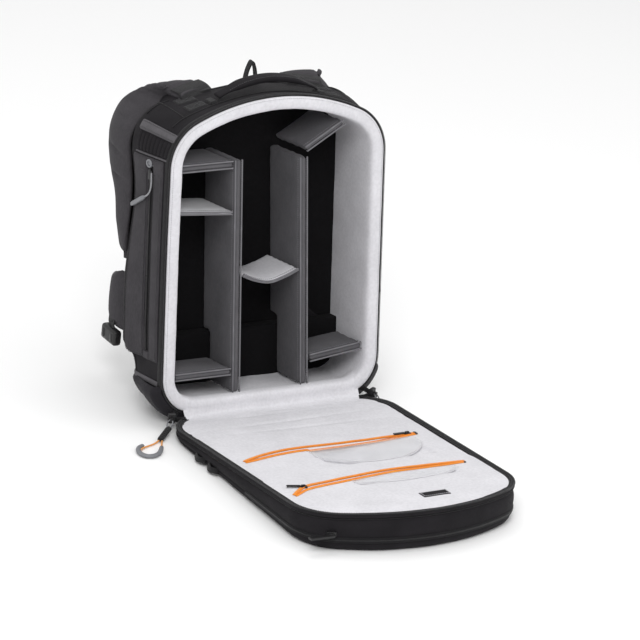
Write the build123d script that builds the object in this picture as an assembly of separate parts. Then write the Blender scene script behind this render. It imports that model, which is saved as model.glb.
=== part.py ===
from build123d import *
import math
import os

# Camera backpack, open, standing on its boot with the front panel laid down. Millimetres, +Z up.
# X runs across the bag, -Y is the side that opens. The origin is the centre of the flat underside.

# Driving dimensions of the opening and of the front panel, which share one outline
HALF_BOTTOM = 182.0
HALF_TOP = 180.5
LENGTH = 470.0
CROWN_RADIUS = 330.0
TOP_CORNER = 74.0
BOTTOM_CORNER = 58.5

# The hinge line, and the angles of the opening plane and of the laid-down panel
HINGE_Y = -50.0
HINGE_Z = 20.0
LEAN = 8.27
PANEL_RISE = 5.0

# Depths behind the opening plane
BODY_DEPTH = 123.0
WAIST_DEPTH = 103.0
WAIST_HEIGHT = 84.0
CAVITY_DEPTH = 108.0
WAIST_CAVITY_DEPTH = 88.0
BACK_EDGE_RADIUS = 22.0
WALL = 10.0
RIM = 21.0
GAP = 0.3
PLANE_GAP = 1.0
TAPE = 2.0

# Dividers
DIVIDER_FRONT = 8.0
DIVIDER_BACK = 107.0
LOW_DIVIDER_BACK = 87.0

# Harness: the centre line of a shoulder strap, from its root at the top of the back to its end
STRAP_WIDTH = 62.0
STRAP_THICKNESS = 13.0
STRAP_ROUTE = (
    (92, 124, 469),
    (108, 160, 460.5),
    (128, 187, 428),
    (140, 196, 386),
    (143, 179, 338),
    (142, 152, 298),
    (140, 147, 250),
    (138, 144, 198),
)

# Zip pulls
CORD = 2.4
CORD_ROUTE = (
    (-203.0, -83.0, 3.4),
    (-213.0, -91.0, 2.4),
    (-227.0, -96.5, 2.2),
    (-240.0, -101.0, 2.6),
    (-249.5, -108.5, 3.2),
    (-253.5, -119.0, 3.4),
    (-251.0, -129.0, 3.4),
    (-242.0, -133.0, 3.4),
    (-231.0, -129.5, 3.4),
    (-222.0, -121.0, 3.0),
    (-215.0, -110.0, 2.2),
    (-207.5, -97.0, 2.4),
    (-202.0, -87.0, 3.4),
)
SIDE_CORD_ROUTE = (
    (-190.8, 42.0, 373.0),
    (-191.4, 38.6, 362.0),
    (-191.6, 38.0, 350.0),
    (-191.6, 43.0, 339.5),
    (-191.4, 53.0, 332.0),
)

# The moulded grip that the left cord runs round: an open U, seen from above
GRIP_BOTTOM = 0.6
GRIP_THICKNESS = 5.6
GRIP_OUTLINE = (
    (-236, -93),
    (-243, -99),
    (-247, -107),
    (-248, -118),
    (-246, -124),
    (-240, -127),
    (-231, -123),
    (-222, -114),
    (-216, -106),
    (-210, -110),
    (-217, -120),
    (-226, -130),
    (-238, -137),
    (-250, -136),
    (-258, -128),
    (-259, -112),
    (-254, -102),
    (-245, -94),
    (-236, -93),
)

# Pockets sunk in the lining of the front panel, as x and distance from the hinge
POCKETS = ((-46, 128, 188, 262), (-48, 120, 324, 346))
POCKET_NAMES = ("near", "far")
POCKET_FLOOR = 8
LINING_FACE = 2.5
LINING_BACK = 10

# The side zip, in the height of the body's frame and its depth behind the opening plane
SIDE_TAPE = (94, 346, 58.5, 43.5)
SIDE_SLOT = (90, 372, 59, 43)
SIDE_PANEL = (78, 364, 98, 20)

BIG = 900.0


def slope(angle):
    """Unit vector of the opening plane's rise, for a lean in degrees."""
    turn = math.radians(angle)
    return math.sin(turn), math.cos(turn)


LEAN_SIN, LEAN_COS = slope(LEAN)
RISE_SIN, RISE_COS = slope(PANEL_RISE)

# Local frames: x across, y away from the hinge line, z towards the outside of the closed bag
BODY = Plane(origin=(0, HINGE_Y, HINGE_Z), x_dir=(1, 0, 0), z_dir=(0, -LEAN_COS, LEAN_SIN))
PANEL = Plane(origin=(0, HINGE_Y, HINGE_Z), x_dir=(1, 0, 0), z_dir=(0, -RISE_SIN, -RISE_COS))


def outline(inset=0.0):
    """The outline of the opening, moved inwards all round by inset."""
    bottom = HALF_BOTTOM - inset
    top = HALF_TOP - inset
    radius = CROWN_RADIUS - inset
    height = LENGTH - inset
    shoulder = height - radius + math.sqrt(radius**2 - top**2)
    sides = Polyline((-top, shoulder), (-bottom, inset), (bottom, inset), (top, shoulder))
    crown = ThreePointArc((top, shoulder), (0, height), (-top, shoulder))
    face = make_face(sides + crown)
    low = face.vertices().filter_by_position(Axis.Y, inset - 1, inset + 1)
    face = fillet(low, BOTTOM_CORNER - inset)
    high = [v for v in face.vertices() if abs(v.Y - shoulder) < 0.01]
    return fillet(high, TOP_CORNER - inset)


def slab(face, low, high):
    """A face drawn in a local frame, given thickness from low to high along its normal."""
    return extrude(Pos(0, 0, low) * face, amount=high - low)


def ring(outer, inner):
    return outline(outer) - outline(inner)


def block(x0, x1, y0, y1, z0, z1):
    """A box from its six limits."""
    box = Box(x1 - x0, y1 - y0, z1 - z0)
    return Pos((x0 + x1) / 2, (y0 + y1) / 2, (z0 + z1) / 2) * box


def soft_block(x0, x1, y0, y1, z0, z1, radius):
    """A box with all its edges rounded."""
    box = block(x0, x1, y0, y1, z0, z1)
    return fillet(box.edges(), radius)


def below(height, depth):
    """Everything lower than height and deeper than depth, in the body's frame."""
    return block(-BIG, BIG, -BIG, height, -BIG, -depth)


def wall_patch(x0, x1, y0, y1, deep, shallow, lift=3.0):
    """A flat piece sewn on the outside of the shell, cut from a ring that follows its outline."""
    layer = slab(ring(-lift, -GAP), -deep, -shallow)
    return layer & block(x0, x1, y0, y1, -deep - 1, 0)


def bar(points, thickness):
    """A flat strip through two points of the opening plane, as a closed face."""
    (x0, y0), (x1, y1) = points
    run = math.hypot(x1 - x0, y1 - y0)
    turn = math.degrees(math.atan2(y1 - y0, x1 - x0))
    return Pos((x0 + x1) / 2, (y0 + y1) / 2) * Rot(0, 0, turn) * Rectangle(run, thickness)


def group(*pieces):
    """Separate pieces of one kind, kept as separate solids of one node."""
    return Compound(children=[solid for piece in pieces for solid in piece.solids()])


def write(name, shape, frame=None):
    placed = frame * shape if frame else shape
    solids = placed.solids()
    whole = solids[0] if len(solids) == 1 else Compound(children=solids)
    export_step(whole, f"parts/{name}.step")


# ---------------------------------------------------------------- body shell


def shell():
    full = slab(outline(), -BODY_DEPTH, -PLANE_GAP - TAPE)
    back = full.faces().sort_by(Axis.Z)[0]
    full = fillet(back.edges(), BACK_EDGE_RADIUS)
    full -= below(WAIST_HEIGHT, WAIST_DEPTH)
    hollow = slab(outline(WALL), -BODY_DEPTH + 6, 5)
    hollow -= below(WAIST_HEIGHT + 6, WAIST_DEPTH - 6)
    write("outer_shell", full - hollow, BODY)


def lining():
    room = slab(outline(WALL + GAP), -BODY_DEPTH + 12, -PLANE_GAP)
    room -= below(WAIST_HEIGHT + 6 + GAP, WAIST_DEPTH - 6 - GAP)
    cavity = slab(outline(RIM), -BODY_DEPTH, 5)
    cavity -= below(WAIST_HEIGHT + 14, WAIST_CAVITY_DEPTH)
    write("inner_lining", room - cavity, BODY)
    back = slab(outline(RIM + GAP), -CAVITY_DEPTH - 3, -CAVITY_DEPTH)
    back -= below(WAIST_HEIGHT + 14 + GAP, 0)
    write("back_lining", back, BODY)
    sheet = slab(outline(WALL + 5), -BODY_DEPTH + 8.5, -BODY_DEPTH + 10.5)
    sheet -= below(WAIST_HEIGHT + 8, 0)
    write("frame_sheet", sheet, BODY)


def zip_tape():
    tape = slab(ring(-1, WALL), -PLANE_GAP - TAPE, -PLANE_GAP)
    tape -= block(-118, 118, -5, 30, -10, 5)
    write("main_zip_tape", tape, BODY)


def boot():
    envelope = BODY * slab(outline(-GAP), -WAIST_DEPTH - GAP, 5)
    skin = slab(outline(-4), -WAIST_DEPTH - 4, -4) & block(-BIG, BIG, -20, 46, -BIG, 0)
    base = block(-120, 120, HINGE_Y + 4, 46, 0, 14)
    base = fillet(base.edges().filter_by(Axis.X).group_by(Axis.Z)[0], 5)
    cup = (BODY * skin + base) - envelope
    write("boot", cup)
    write("hinge_strip", block(-118, 118, HINGE_Y + 0.8, HINGE_Y + 3.9, 1.5, 16.5) - cup)


# ---------------------------------------------------------------- outside of the body


def side_panels():
    foot, head, deep, shallow = SIDE_SLOT
    left = wall_patch(-200, -100, *SIDE_PANEL) - block(-200, -100, foot, head, -deep, -shallow)
    right = wall_patch(100, 200, *SIDE_PANEL)
    write("side_panels", group(left, right), BODY)
    write("side_zip_tape", wall_patch(-200, -100, *SIDE_TAPE, 2), BODY)
    write("side_zip_garage", wall_patch(-200, -100, 368, 382, 60, 42, 5), BODY)
    patch = wall_patch(-200, -100, 386, 409, 92, 12, 2.5)
    trim = wall_patch(-200, -100, 410, 421, 95, 8, 3.5)
    write("side_attachment_patch", group(patch, trim), BODY)


def top_pieces():
    spans = [(x0, deep) for x0 in (-128, 98) for deep in (92, 62)]
    webbing = [wall_patch(x0, x0 + 30, 380, 480, deep, deep - 22, 2.2) for x0, deep in spans]
    write("top_webbing", group(*webbing), BODY)
    handle_ends = [wall_patch(x0, x0 + 12, 400, 480, 58, 36, 5) for x0 in (-96, 84)]
    strap_roots = [wall_patch(x0, x0 + 56, 380, 480, 102.5, 92, 5) for x0 in (-120, 64)]
    write("top_anchors", group(*handle_ends, *strap_roots), BODY)


def handle():
    outer = ThreePointArc((-83, 478), (0, 503), (83, 478))
    inner = ThreePointArc((83, 474.5), (0, 494), (-83, 474.5))
    band = make_face(outer + Line((83, 478), (83, 474.5)) + inner + Line((-83, 474.5), (-83, 478)))
    write("grab_handle", Pos(0, 62, 0) * extrude(Plane.XZ * band, amount=11, both=True))


def hang_loop():
    outer = Polyline((-12, 470), (0, 509), (12, 470), (-12, 470))
    inner = Polyline((-9, 467), (0, 502), (9, 467), (-9, 467))
    band = make_face(outer) - make_face(inner)
    loop = extrude(Plane.XZ * band, amount=7, both=True)
    loop = Pos(0, 112, 0) * loop
    envelope = BODY * slab(outline(-GAP), -BODY_DEPTH, 5)
    write("hang_loop", loop - envelope)


def right_side():
    outer = block(183, 201, 47, 150, -96, -24)
    outer = fillet(outer.edges().filter_by(Axis.Y).group_by(Axis.X)[-1], 8)
    room = block(185.5, 198, 49.5, 160, -93, -27)
    keep_out = slab(outline(-3 - GAP), -200, 5)
    write("tripod_sleeve", (outer - room) - keep_out, BODY)
    loop = block(183, 192, 300, 322, -96, -56) - block(184.8, 190.2, 290, 330, -94, -50)
    loop += block(184, 192, 298, 324, -60, -50)
    loop -= block(186, 190.2, 302, 320, -59, -40)
    write("tripod_strap", loop - keep_out, BODY)
    male = block(186.4, 189.8, 303, 319, -58.5, -40) + block(185, 191, 300, 322, -49.5, -40)
    male += block(187, 189, 302, 320, -40, -25)
    write("tripod_buckle", male - keep_out, BODY)


# ---------------------------------------------------------------- harness


def back_pads():
    panel = slab(outline(26), -BODY_DEPTH - 12, -BODY_DEPTH - GAP) - below(96, 0)
    write("back_panel", panel, BODY)
    front = -BODY_DEPTH - 12 - GAP
    pads = [soft_block(x0, x1, 215, 400, front - 11, front, 5) for x0, x1 in ((-92, -14), (14, 92))]
    write("back_pads", group(*pads), BODY)
    write("lumbar_pad", soft_block(-138, 138, 104, 200, front - 14, front, 6), BODY)


def strap_sections(side):
    """One rounded section across the strap at each point of its route."""
    route = [Vector(side * x, y, z) for x, y, z in STRAP_ROUTE]
    sections = []
    for i, point in enumerate(route):
        before = route[max(i - 1, 0)]
        after = route[min(i + 1, len(route) - 1)]
        along = Vector(0, after.Y - before.Y, after.Z - before.Z)
        frame = Plane(origin=point, x_dir=(1, 0, 0), z_dir=along)
        sections.append(frame * RectangleRounded(STRAP_WIDTH, STRAP_THICKNESS, 4))
    return sections


def shoulder_strap(side):
    name = "left" if side < 0 else "right"
    write(f"shoulder_strap_{name}", loft(strap_sections(side), ruled=True))
    x = side * 139
    plate = block(x - 14, x + 14, 157.5, 161, 238, 256)
    tail = block(x - 10, x + 10, 158, 160, 206, 238)
    half = block(x - 13, x + 13, 155.5, 163, 188, 206)
    write(f"sternum_strap_{name}", plate + tail + half)


def lower_webbing():
    bands = []
    for side in (-1, 1):
        face = make_face(Polyline((145, 195), (124, 163), (122.4, 164), (143.4, 196), (145, 195)))
        x0, x1 = sorted((side * 112, side * 137))
        bands.append(Pos(x0, 0, 0) * extrude(Plane.YZ * face, amount=x1 - x0))
    write("strap_webbing", group(*bands))


def hip_wing(side):
    """A padded wing that curls behind the bag from the edge of the lumbar pad, and its webbing end."""
    outer = ThreePointArc((153, 122), (177, 154), (158, 198))
    inner = ThreePointArc((148, 188), (163, 154), (141, 131))
    band = make_face(outer + Line((158, 198), (148, 188)) + inner + Line((141, 131), (153, 122)))
    wing = extrude(Pos(0, 0, 78) * band, amount=104)
    tip = block(168, 184, 136, 184, 50, 77.5) - block(172, 180, 130, 190, 56, 72)
    if side < 0:
        wing = mirror(wing, about=Plane.YZ)
        tip = mirror(tip, about=Plane.YZ)
    name = "left" if side < 0 else "right"
    write(f"hip_wing_{name}", wing)
    write(f"hip_buckle_{name}", tip)


# ---------------------------------------------------------------- dividers


def dividers():
    def upright(name, foot_x, head_x, head, width):
        half = width / 2
        face = make_face(
            Polyline(
                (foot_x - half, RIM + 0.6),
                (foot_x + half, RIM + 0.6),
                (head_x + half, head),
                (head_x - half, head),
                (foot_x - half, RIM + 0.6),
            )
        )
        low = slab(face, -LOW_DIVIDER_BACK, -DIVIDER_FRONT)
        high = slab(face & Pos(0, 300) * Rectangle(BIG, 400), -DIVIDER_BACK, -DIVIDER_FRONT)
        write(name, low + high, BODY)

    def shelf(name, start, end, thickness, back=DIVIDER_BACK):
        write(name, slab(bar((start, end), thickness), -back, -DIVIDER_FRONT), BODY)

    upright("divider_left", -55, -62, 379, 14)
    upright("divider_right", 61, 48, 374, 14)
    shelf("shelf_left_top", (-159.4, 371), (-70, 371), 13)
    shelf("shelf_left_middle", (-159.0, 305), (-68.6, 298), 7)
    shelf("shelf_left_bottom", (-158.8, 56), (-63.2, 56), 12, LOW_DIVIDER_BACK)
    sag = ThreePointArc((-50.5, 206), (-4, 190), (46.5, 206))
    lip = ThreePointArc((46.5, 200.5), (-4, 184.5), (-50.5, 200.5))
    face = make_face(sag + Line((46.5, 206), (46.5, 200.5)) + lip + Line((-50.5, 200.5), (-50.5, 206)))
    write("shelf_centre", slab(face, -DIVIDER_BACK, -DIVIDER_FRONT), BODY)
    shelf("divider_right_slope", (50, 383), (116, 421), 10)
    shelf("shelf_right_bottom", (68.5, 62), (160, 73), 13, LOW_DIVIDER_BACK)


# ---------------------------------------------------------------- front panel


def front_panel():
    wedge = slab(outline(), PLANE_GAP + TAPE, 80)
    floor = block(-BIG, BIG, -BIG, HINGE_Y - 0.5, 0, BIG)
    placed = (PANEL * wedge) & floor
    under = placed.faces().filter_by(Axis.Z).sort_by(Axis.Z)[0]
    placed = fillet(under.edges().filter_by(lambda e: e.center().Y < HINGE_Y - 60), 9)
    write("front_panel", placed - PANEL * slab(outline(WALL), 0, 10.3))
    pad = slab(outline(WALL + GAP), LINING_FACE, LINING_BACK)
    for x0, x1, y0, y1 in POCKETS:
        pad -= block(x0, x1, y0, y1, -1, POCKET_FLOOR)
    write("front_lining", pad, PANEL)
    tape = slab(ring(-1, WALL), PLANE_GAP, PLANE_GAP + TAPE) - block(-118, 118, -5, 30, -1, 5)
    write("front_zip_tape", tape & block(-BIG, BIG, 1, BIG, -5, 10), PANEL)
    second = slab(ring(-1.5, -GAP), 26, 34) & block(-BIG, BIG, 250, BIG, 0, 60)
    write("front_pocket_zip", second, PANEL)


def panel_pockets():
    for name, (x0, x1, y0, y1) in zip(POCKET_NAMES, POCKETS):
        window = block(x0 - 6, x1 + 6, y0, y1 + 5, 1.4, 2.3)
        write(f"pocket_window_{name}", window, PANEL)
    near = bar(((-158, 203), (-52, 180)), 11) + bar(((-54, 180), (143, 180)), 11)
    write("pocket_zip_near", slab(near, 1.2, 2.3), PANEL)
    far = bar(((-160, 352), (-131, 329)), 11) + bar(((-133, 329), (8, 305)), 11)
    far += bar(((8, 305), (145, 313)), 11)
    write("pocket_zip_far", slab(far, 1.2, 2.3), PANEL)
    write("blank_label", block(11, 56, 407, 425, 1.2, 2.3), PANEL)


def slider_body(length, width, height):
    """A zip slider: a rounded casting with a bridge for its pull."""
    plate = block(-length / 2, length / 2, -width / 2, width / 2, 0, height)
    plate = fillet(plate.edges().filter_by(Axis.Z), width / 4)
    bridge = block(-length / 4, length / 4, -1.2, 1.2, height, height + 2.2)
    bridge -= block(-length / 4 + 1.6, length / 4 - 1.6, -2, 2, height - 1, height + 1)
    return plate + bridge


def panel_sliders():
    near = Pos(128, 180, 0.9) * Rot(180, 0, 0) * slider_body(12, 8, 2)
    write("pocket_slider_near", near + block(106, 124, 177.5, 182.5, -2.2, -0.8), PANEL)
    far = Pos(-133, 329, 0.9) * Rot(180, 0, -9.7) * slider_body(12, 8, 2)
    tail = Pos(-133, 329, 0) * Rot(0, 0, 200) * block(4, 24, -2.5, 2.5, -2.2, -0.8)
    write("pocket_slider_far", far + tail, PANEL)
    turn = Pos(-106.5, 372.8, 0) * Rot(0, 0, 122)
    casting = turn * block(77.2, 81, -7, 7, 27, 33)
    tab = turn * Pos(82, 0, 30) * Rot(0, 0, 60) * block(-4, 34, -4.5, 4.5, 1, 4)
    bridge = turn * block(80, 84, -3, 3, 29, 35)
    write("front_pocket_slider", casting + bridge + tab, PANEL)


def panel_loops():
    loops = []
    for y0, y1 in ((-184, -152), (-222, -190)):
        loop = block(-188.5, -178.5, y0, y1, 2, 12) - block(-186.5, -182.5, y0 + 4, y1 - 4, 0, 14)
        loops.append(loop)
    keep_out = PANEL * slab(outline(-GAP), -5, 90)
    write("front_panel_loops", group(*[loop - keep_out for loop in loops]))


# ---------------------------------------------------------------- zip sliders and pulls


def cord(name, route, diameter):
    """A tube of straight runs joined by arcs as large as the two runs at each point allow."""
    points = [Vector(*p) for p in route]
    radii = []
    for before, here, after in zip(points, points[1:], points[2:]):
        turn = math.radians((here - before).get_angle(after - here))
        shorter = min((here - before).length, (after - here).length)
        radii.append(0.45 * shorter / math.tan(turn / 2))
    path = FilletPolyline(*points, radius=radii)
    start = Plane(origin=path @ 0, z_dir=path % 0)
    tube = sweep(start * Circle(diameter / 2), path=path)
    expected = math.pi * (diameter / 2) ** 2 * path.length
    print(name, "radii", [round(r, 1) for r in radii], "length", round(path.length, 1))
    print(name, "volume over section times length", round(tube.volume / expected, 4))
    write(name, tube)


def main_sliders():
    for side, name in ((-1, "left"), (1, "right")):
        casting = Pos(side * 171.5, HINGE_Y - 5.8, 22) * Rot(0, 0, side * 30)
        plate = casting * soft_block(-5.5, 5.5, -3.2, 3.2, -8, 8, 1.5)
        bridge = casting * (block(-2, 2, -8, -3, -5, 3) - block(-3, 3, -6.6, -4, -3.4, 1.4))
        write(f"main_slider_{name}", plate + bridge)


def pull_tab(start, end, width, thickness):
    """A flat folded tab that lies along the line from start to end."""
    a, b = Vector(*start), Vector(*end)
    frame = Plane(origin=a, x_dir=(b - a), z_dir=Vector(0, 0, 1).cross(b - a).cross(b - a) * -1)
    run = (b - a).length
    body = fillet(block(0, run, -width / 2, width / 2, 0, thickness).edges().filter_by(Axis.Z), 2.5)
    return frame * body


def main_pulls():
    tab = pull_tab((-177.5, -63.5, 9.0), (-206.0, -86.5, 1.2), 9, 4.4)
    write("main_pull_tab_left", tab)
    cord("main_pull_cord", CORD_ROUTE, CORD)
    grip = make_face(Polyline(*GRIP_OUTLINE))
    write("main_pull_grip", extrude(Pos(0, 0, GRIP_BOTTOM) * grip, amount=GRIP_THICKNESS))
    right = pull_tab((177.5, -63.5, 9.0), (188, -96, 1.2), 9, 3.4)
    write("main_pull_right", right)


def side_zip():
    slider = wall_patch(-200, -100, 350, 364, 56, 46, 7) - slab(outline(-2.3), -100, 0)
    write("side_zip_slider", slider, BODY)
    cord("side_pull_cord", SIDE_CORD_ROUTE, CORD)
    a, b = Vector(-191.4, 54.5, 331.3), Vector(-191.0, 92.0, 305.0)
    frame = Plane(origin=a, x_dir=(b - a), z_dir=(-1, 0, 0))
    grip = soft_block(0, (b - a).length, -3.5, 3.5, -2.5, 2.5, 2)
    write("side_pull_grip", grip, frame)


if __name__ == "__main__":
    os.makedirs("parts", exist_ok=True)
    shell()
    lining()
    zip_tape()
    boot()
    side_panels()
    top_pieces()
    handle()
    hang_loop()
    right_side()
    back_pads()
    for hand in (-1, 1):
        shoulder_strap(hand)
        hip_wing(hand)
    lower_webbing()
    dividers()
    front_panel()
    panel_pockets()
    panel_sliders()
    panel_loops()
    main_sliders()
    main_pulls()
    side_zip()
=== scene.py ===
import math

import bmesh
import bpy
import numpy as np
from mathutils import Matrix, Vector, noise


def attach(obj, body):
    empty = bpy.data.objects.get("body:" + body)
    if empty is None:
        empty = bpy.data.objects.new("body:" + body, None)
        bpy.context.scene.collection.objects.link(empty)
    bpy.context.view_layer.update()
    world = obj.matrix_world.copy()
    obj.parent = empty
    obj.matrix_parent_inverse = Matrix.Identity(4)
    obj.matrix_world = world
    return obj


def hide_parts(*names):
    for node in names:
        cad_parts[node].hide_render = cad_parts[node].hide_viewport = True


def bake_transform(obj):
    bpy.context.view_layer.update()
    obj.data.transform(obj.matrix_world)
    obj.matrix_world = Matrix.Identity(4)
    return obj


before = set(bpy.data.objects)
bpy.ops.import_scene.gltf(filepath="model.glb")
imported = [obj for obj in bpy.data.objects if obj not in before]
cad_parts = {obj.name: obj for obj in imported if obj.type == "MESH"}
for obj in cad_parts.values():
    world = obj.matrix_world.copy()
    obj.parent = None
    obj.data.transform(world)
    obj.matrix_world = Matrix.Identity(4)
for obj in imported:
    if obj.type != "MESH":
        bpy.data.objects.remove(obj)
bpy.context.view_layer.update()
scene = bpy.context.scene

# The bag's driving sizes, in millimetres and degrees, the same as in the design
HALF_BOTTOM, HALF_TOP, LENGTH = 182.0, 180.5, 470.0
CROWN_RADIUS, TOP_CORNER, BOTTOM_CORNER = 330.0, 74.0, 58.5
HINGE_Y, HINGE_Z = -50.0, 20.0
LEAN, RISE = math.radians(8.27), math.radians(5.0)
BODY_DEPTH, WAIST_DEPTH, CAVITY_DEPTH = 123.0, 103.0, 108.0
BACK_ROUND = 22.0

# Where edges of the visual model lie: the top of the boot, the low wall inside, and how far the side walls
# and the panel's lining lie inside the outline
BOOT_TOP = 47.0
LOW_WALL_TOP, LOW_WALL_DEPTH = 98.0, 88.0
WALL_INSET, LINING_INSET = 21.5, 7.6

# How far the soft body bulges: at its upper back corners, at the left hip, and down the left edge
CORNER_SWELL, CORNER_SPOT, CORNER_SPREAD = 15.0, (158.8, 425.0), 58.0
HIP_SWELL = 12.0
SIDE_SAG = 2.0

SIDES = ((-1, "left"), (1, "right"))
MM = 0.001

# The least height above the floor, in metres, of the pieces that stand or lie on it
LOWEST = 0.3 * MM


# ---- places


def arc(cx, cy, radius, start, end, count):
    """Points on an arc round (cx, cy), from start to end in degrees."""
    turn = np.radians(np.linspace(start, end, count))
    return np.c_[cx + radius * np.cos(turn), cy + radius * np.sin(turn)]


def lengths(path):
    """The distance along a path at each of its points."""
    return np.r_[0, np.cumsum(np.linalg.norm(np.diff(path, axis=0), axis=1))]


def make_edge():
    """The outline of the opening as points an equal step apart, from the bottom centre up the left side."""
    top_x = HALF_TOP - TOP_CORNER
    crown_y = LENGTH - CROWN_RADIUS
    top_y = crown_y + math.sqrt((CROWN_RADIUS - TOP_CORNER) ** 2 - top_x**2)
    meet = math.degrees(math.atan2(top_y - crown_y, -top_x))
    half = np.vstack([
        [(0, 0)],
        arc(-(HALF_BOTTOM - BOTTOM_CORNER), BOTTOM_CORNER, BOTTOM_CORNER, 270, 180, 40),
        arc(-top_x, top_y, TOP_CORNER, 180, meet, 40),
        arc(0, crown_y, CROWN_RADIUS, meet, 90, 40),
    ])
    whole = np.vstack([half, half[-2:0:-1] * (-1, 1), [(0, 0)]])
    along = lengths(whole)
    steps = np.linspace(0, along[-1], 1201)
    points = np.c_[np.interp(steps, along, whole[:, 0]), np.interp(steps, along, whole[:, 1])]
    return points, along[-1]


EDGE, EDGE_LENGTH = make_edge()
EDGE_T = np.linspace(0, 1, len(EDGE))
LEFT_SIDE = EDGE[:600]
step = np.roll(EDGE[:-1], -2, 0) - np.roll(EDGE[:-1], 2, 0)
step = np.vstack([step, step[:1]])
INWARD = np.c_[step[:, 1], -step[:, 0]] / np.hypot(*step.T)[:, None]


def edge(t, inset=0.0):
    """Points (x, s) of the outline at shares t of its length, moved inwards by inset."""
    t = np.mod(np.asarray(t, float), 1.0)
    at = np.c_[np.interp(t, EDGE_T, EDGE[:, 0]), np.interp(t, EDGE_T, EDGE[:, 1])]
    inward = np.c_[np.interp(t, EDGE_T, INWARD[:, 0]), np.interp(t, EDGE_T, INWARD[:, 1])]
    return at + inward * np.broadcast_to(np.asarray(inset, float), t.shape)[:, None]


def edge_at(at, t, inset, depth):
    """World points of the outline in the frame of the body or the panel, which at gives."""
    flat = edge(t, inset)
    return at(flat[:, 0], flat[:, 1], depth)


def left_t(s):
    """The share of the outline at which its left side has height s."""
    side = EDGE_T < 0.5
    return float(np.interp(s, EDGE[side, 1], EDGE_T[side]))


def body_at(x, s, d):
    """World points, in metres, of the body's frame: across, up the opening plane, and deep behind it."""
    x, s, d = np.broadcast_arrays(*(np.asarray(v, float) for v in (x, s, d)))
    x = x - SIDE_SAG * smooth((-x - 60) / 110) * smooth((400 - s) / 170) * smooth((s + 10) / 60)
    y = HINGE_Y + s * math.sin(LEAN) + d * math.cos(LEAN)
    z = HINGE_Z + s * math.cos(LEAN) - d * math.sin(LEAN)
    return np.stack([x, y, z], -1) * MM


def panel_at(x, s, n):
    """World points, in metres, of the panel's frame: across, away from the hinge, and down through it."""
    x, s, n = np.broadcast_arrays(*(np.asarray(v, float) for v in (x, s, n)))
    y = HINGE_Y - s * math.cos(RISE) - n * math.sin(RISE)
    z = HINGE_Z + s * math.sin(RISE) - n * math.cos(RISE)
    return np.stack([x, y, z], -1) * MM


def smooth(t):
    """An S-shaped rise from 0 to 1."""
    t = np.clip(t, 0, 1)
    return t * t * (3 - 2 * t)


def headings(path, closed=False):
    """The direction of a path at each of its points."""
    ahead = np.roll(path, -1, 0) - np.roll(path, 1, 0)
    if not closed:
        ahead[0], ahead[-1] = path[1] - path[0], path[-1] - path[-2]
    return ahead / (np.linalg.norm(ahead, axis=1)[:, None] + 1e-12)


def point_at(distance, along, path):
    """The value of a path's three columns at a distance along it."""
    return np.array([np.interp(distance, along, path[:, i]) for i in range(3)])


def ripple(points, scale, seed=0.0):
    """Smooth noise from -1 to 1 at each point, with features about scale metres across."""
    flat = np.asarray(points).reshape(-1, 3) / scale
    values = [noise.noise(Vector((p[0] + seed, p[1] - seed, p[2] + 2 * seed))) for p in flat]
    return np.array(values).reshape(np.asarray(points).shape[:-1])


def ruffled(points, scale, seed, amount, way, stretch=(1, 1, 1)):
    """Points moved along a direction by smooth noise of amount millimetres."""
    points = np.asarray(points)
    return points + (ripple(points * stretch, scale, seed) * amount * MM)[..., None] * np.array(way)


# ---- mesh building


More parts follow.
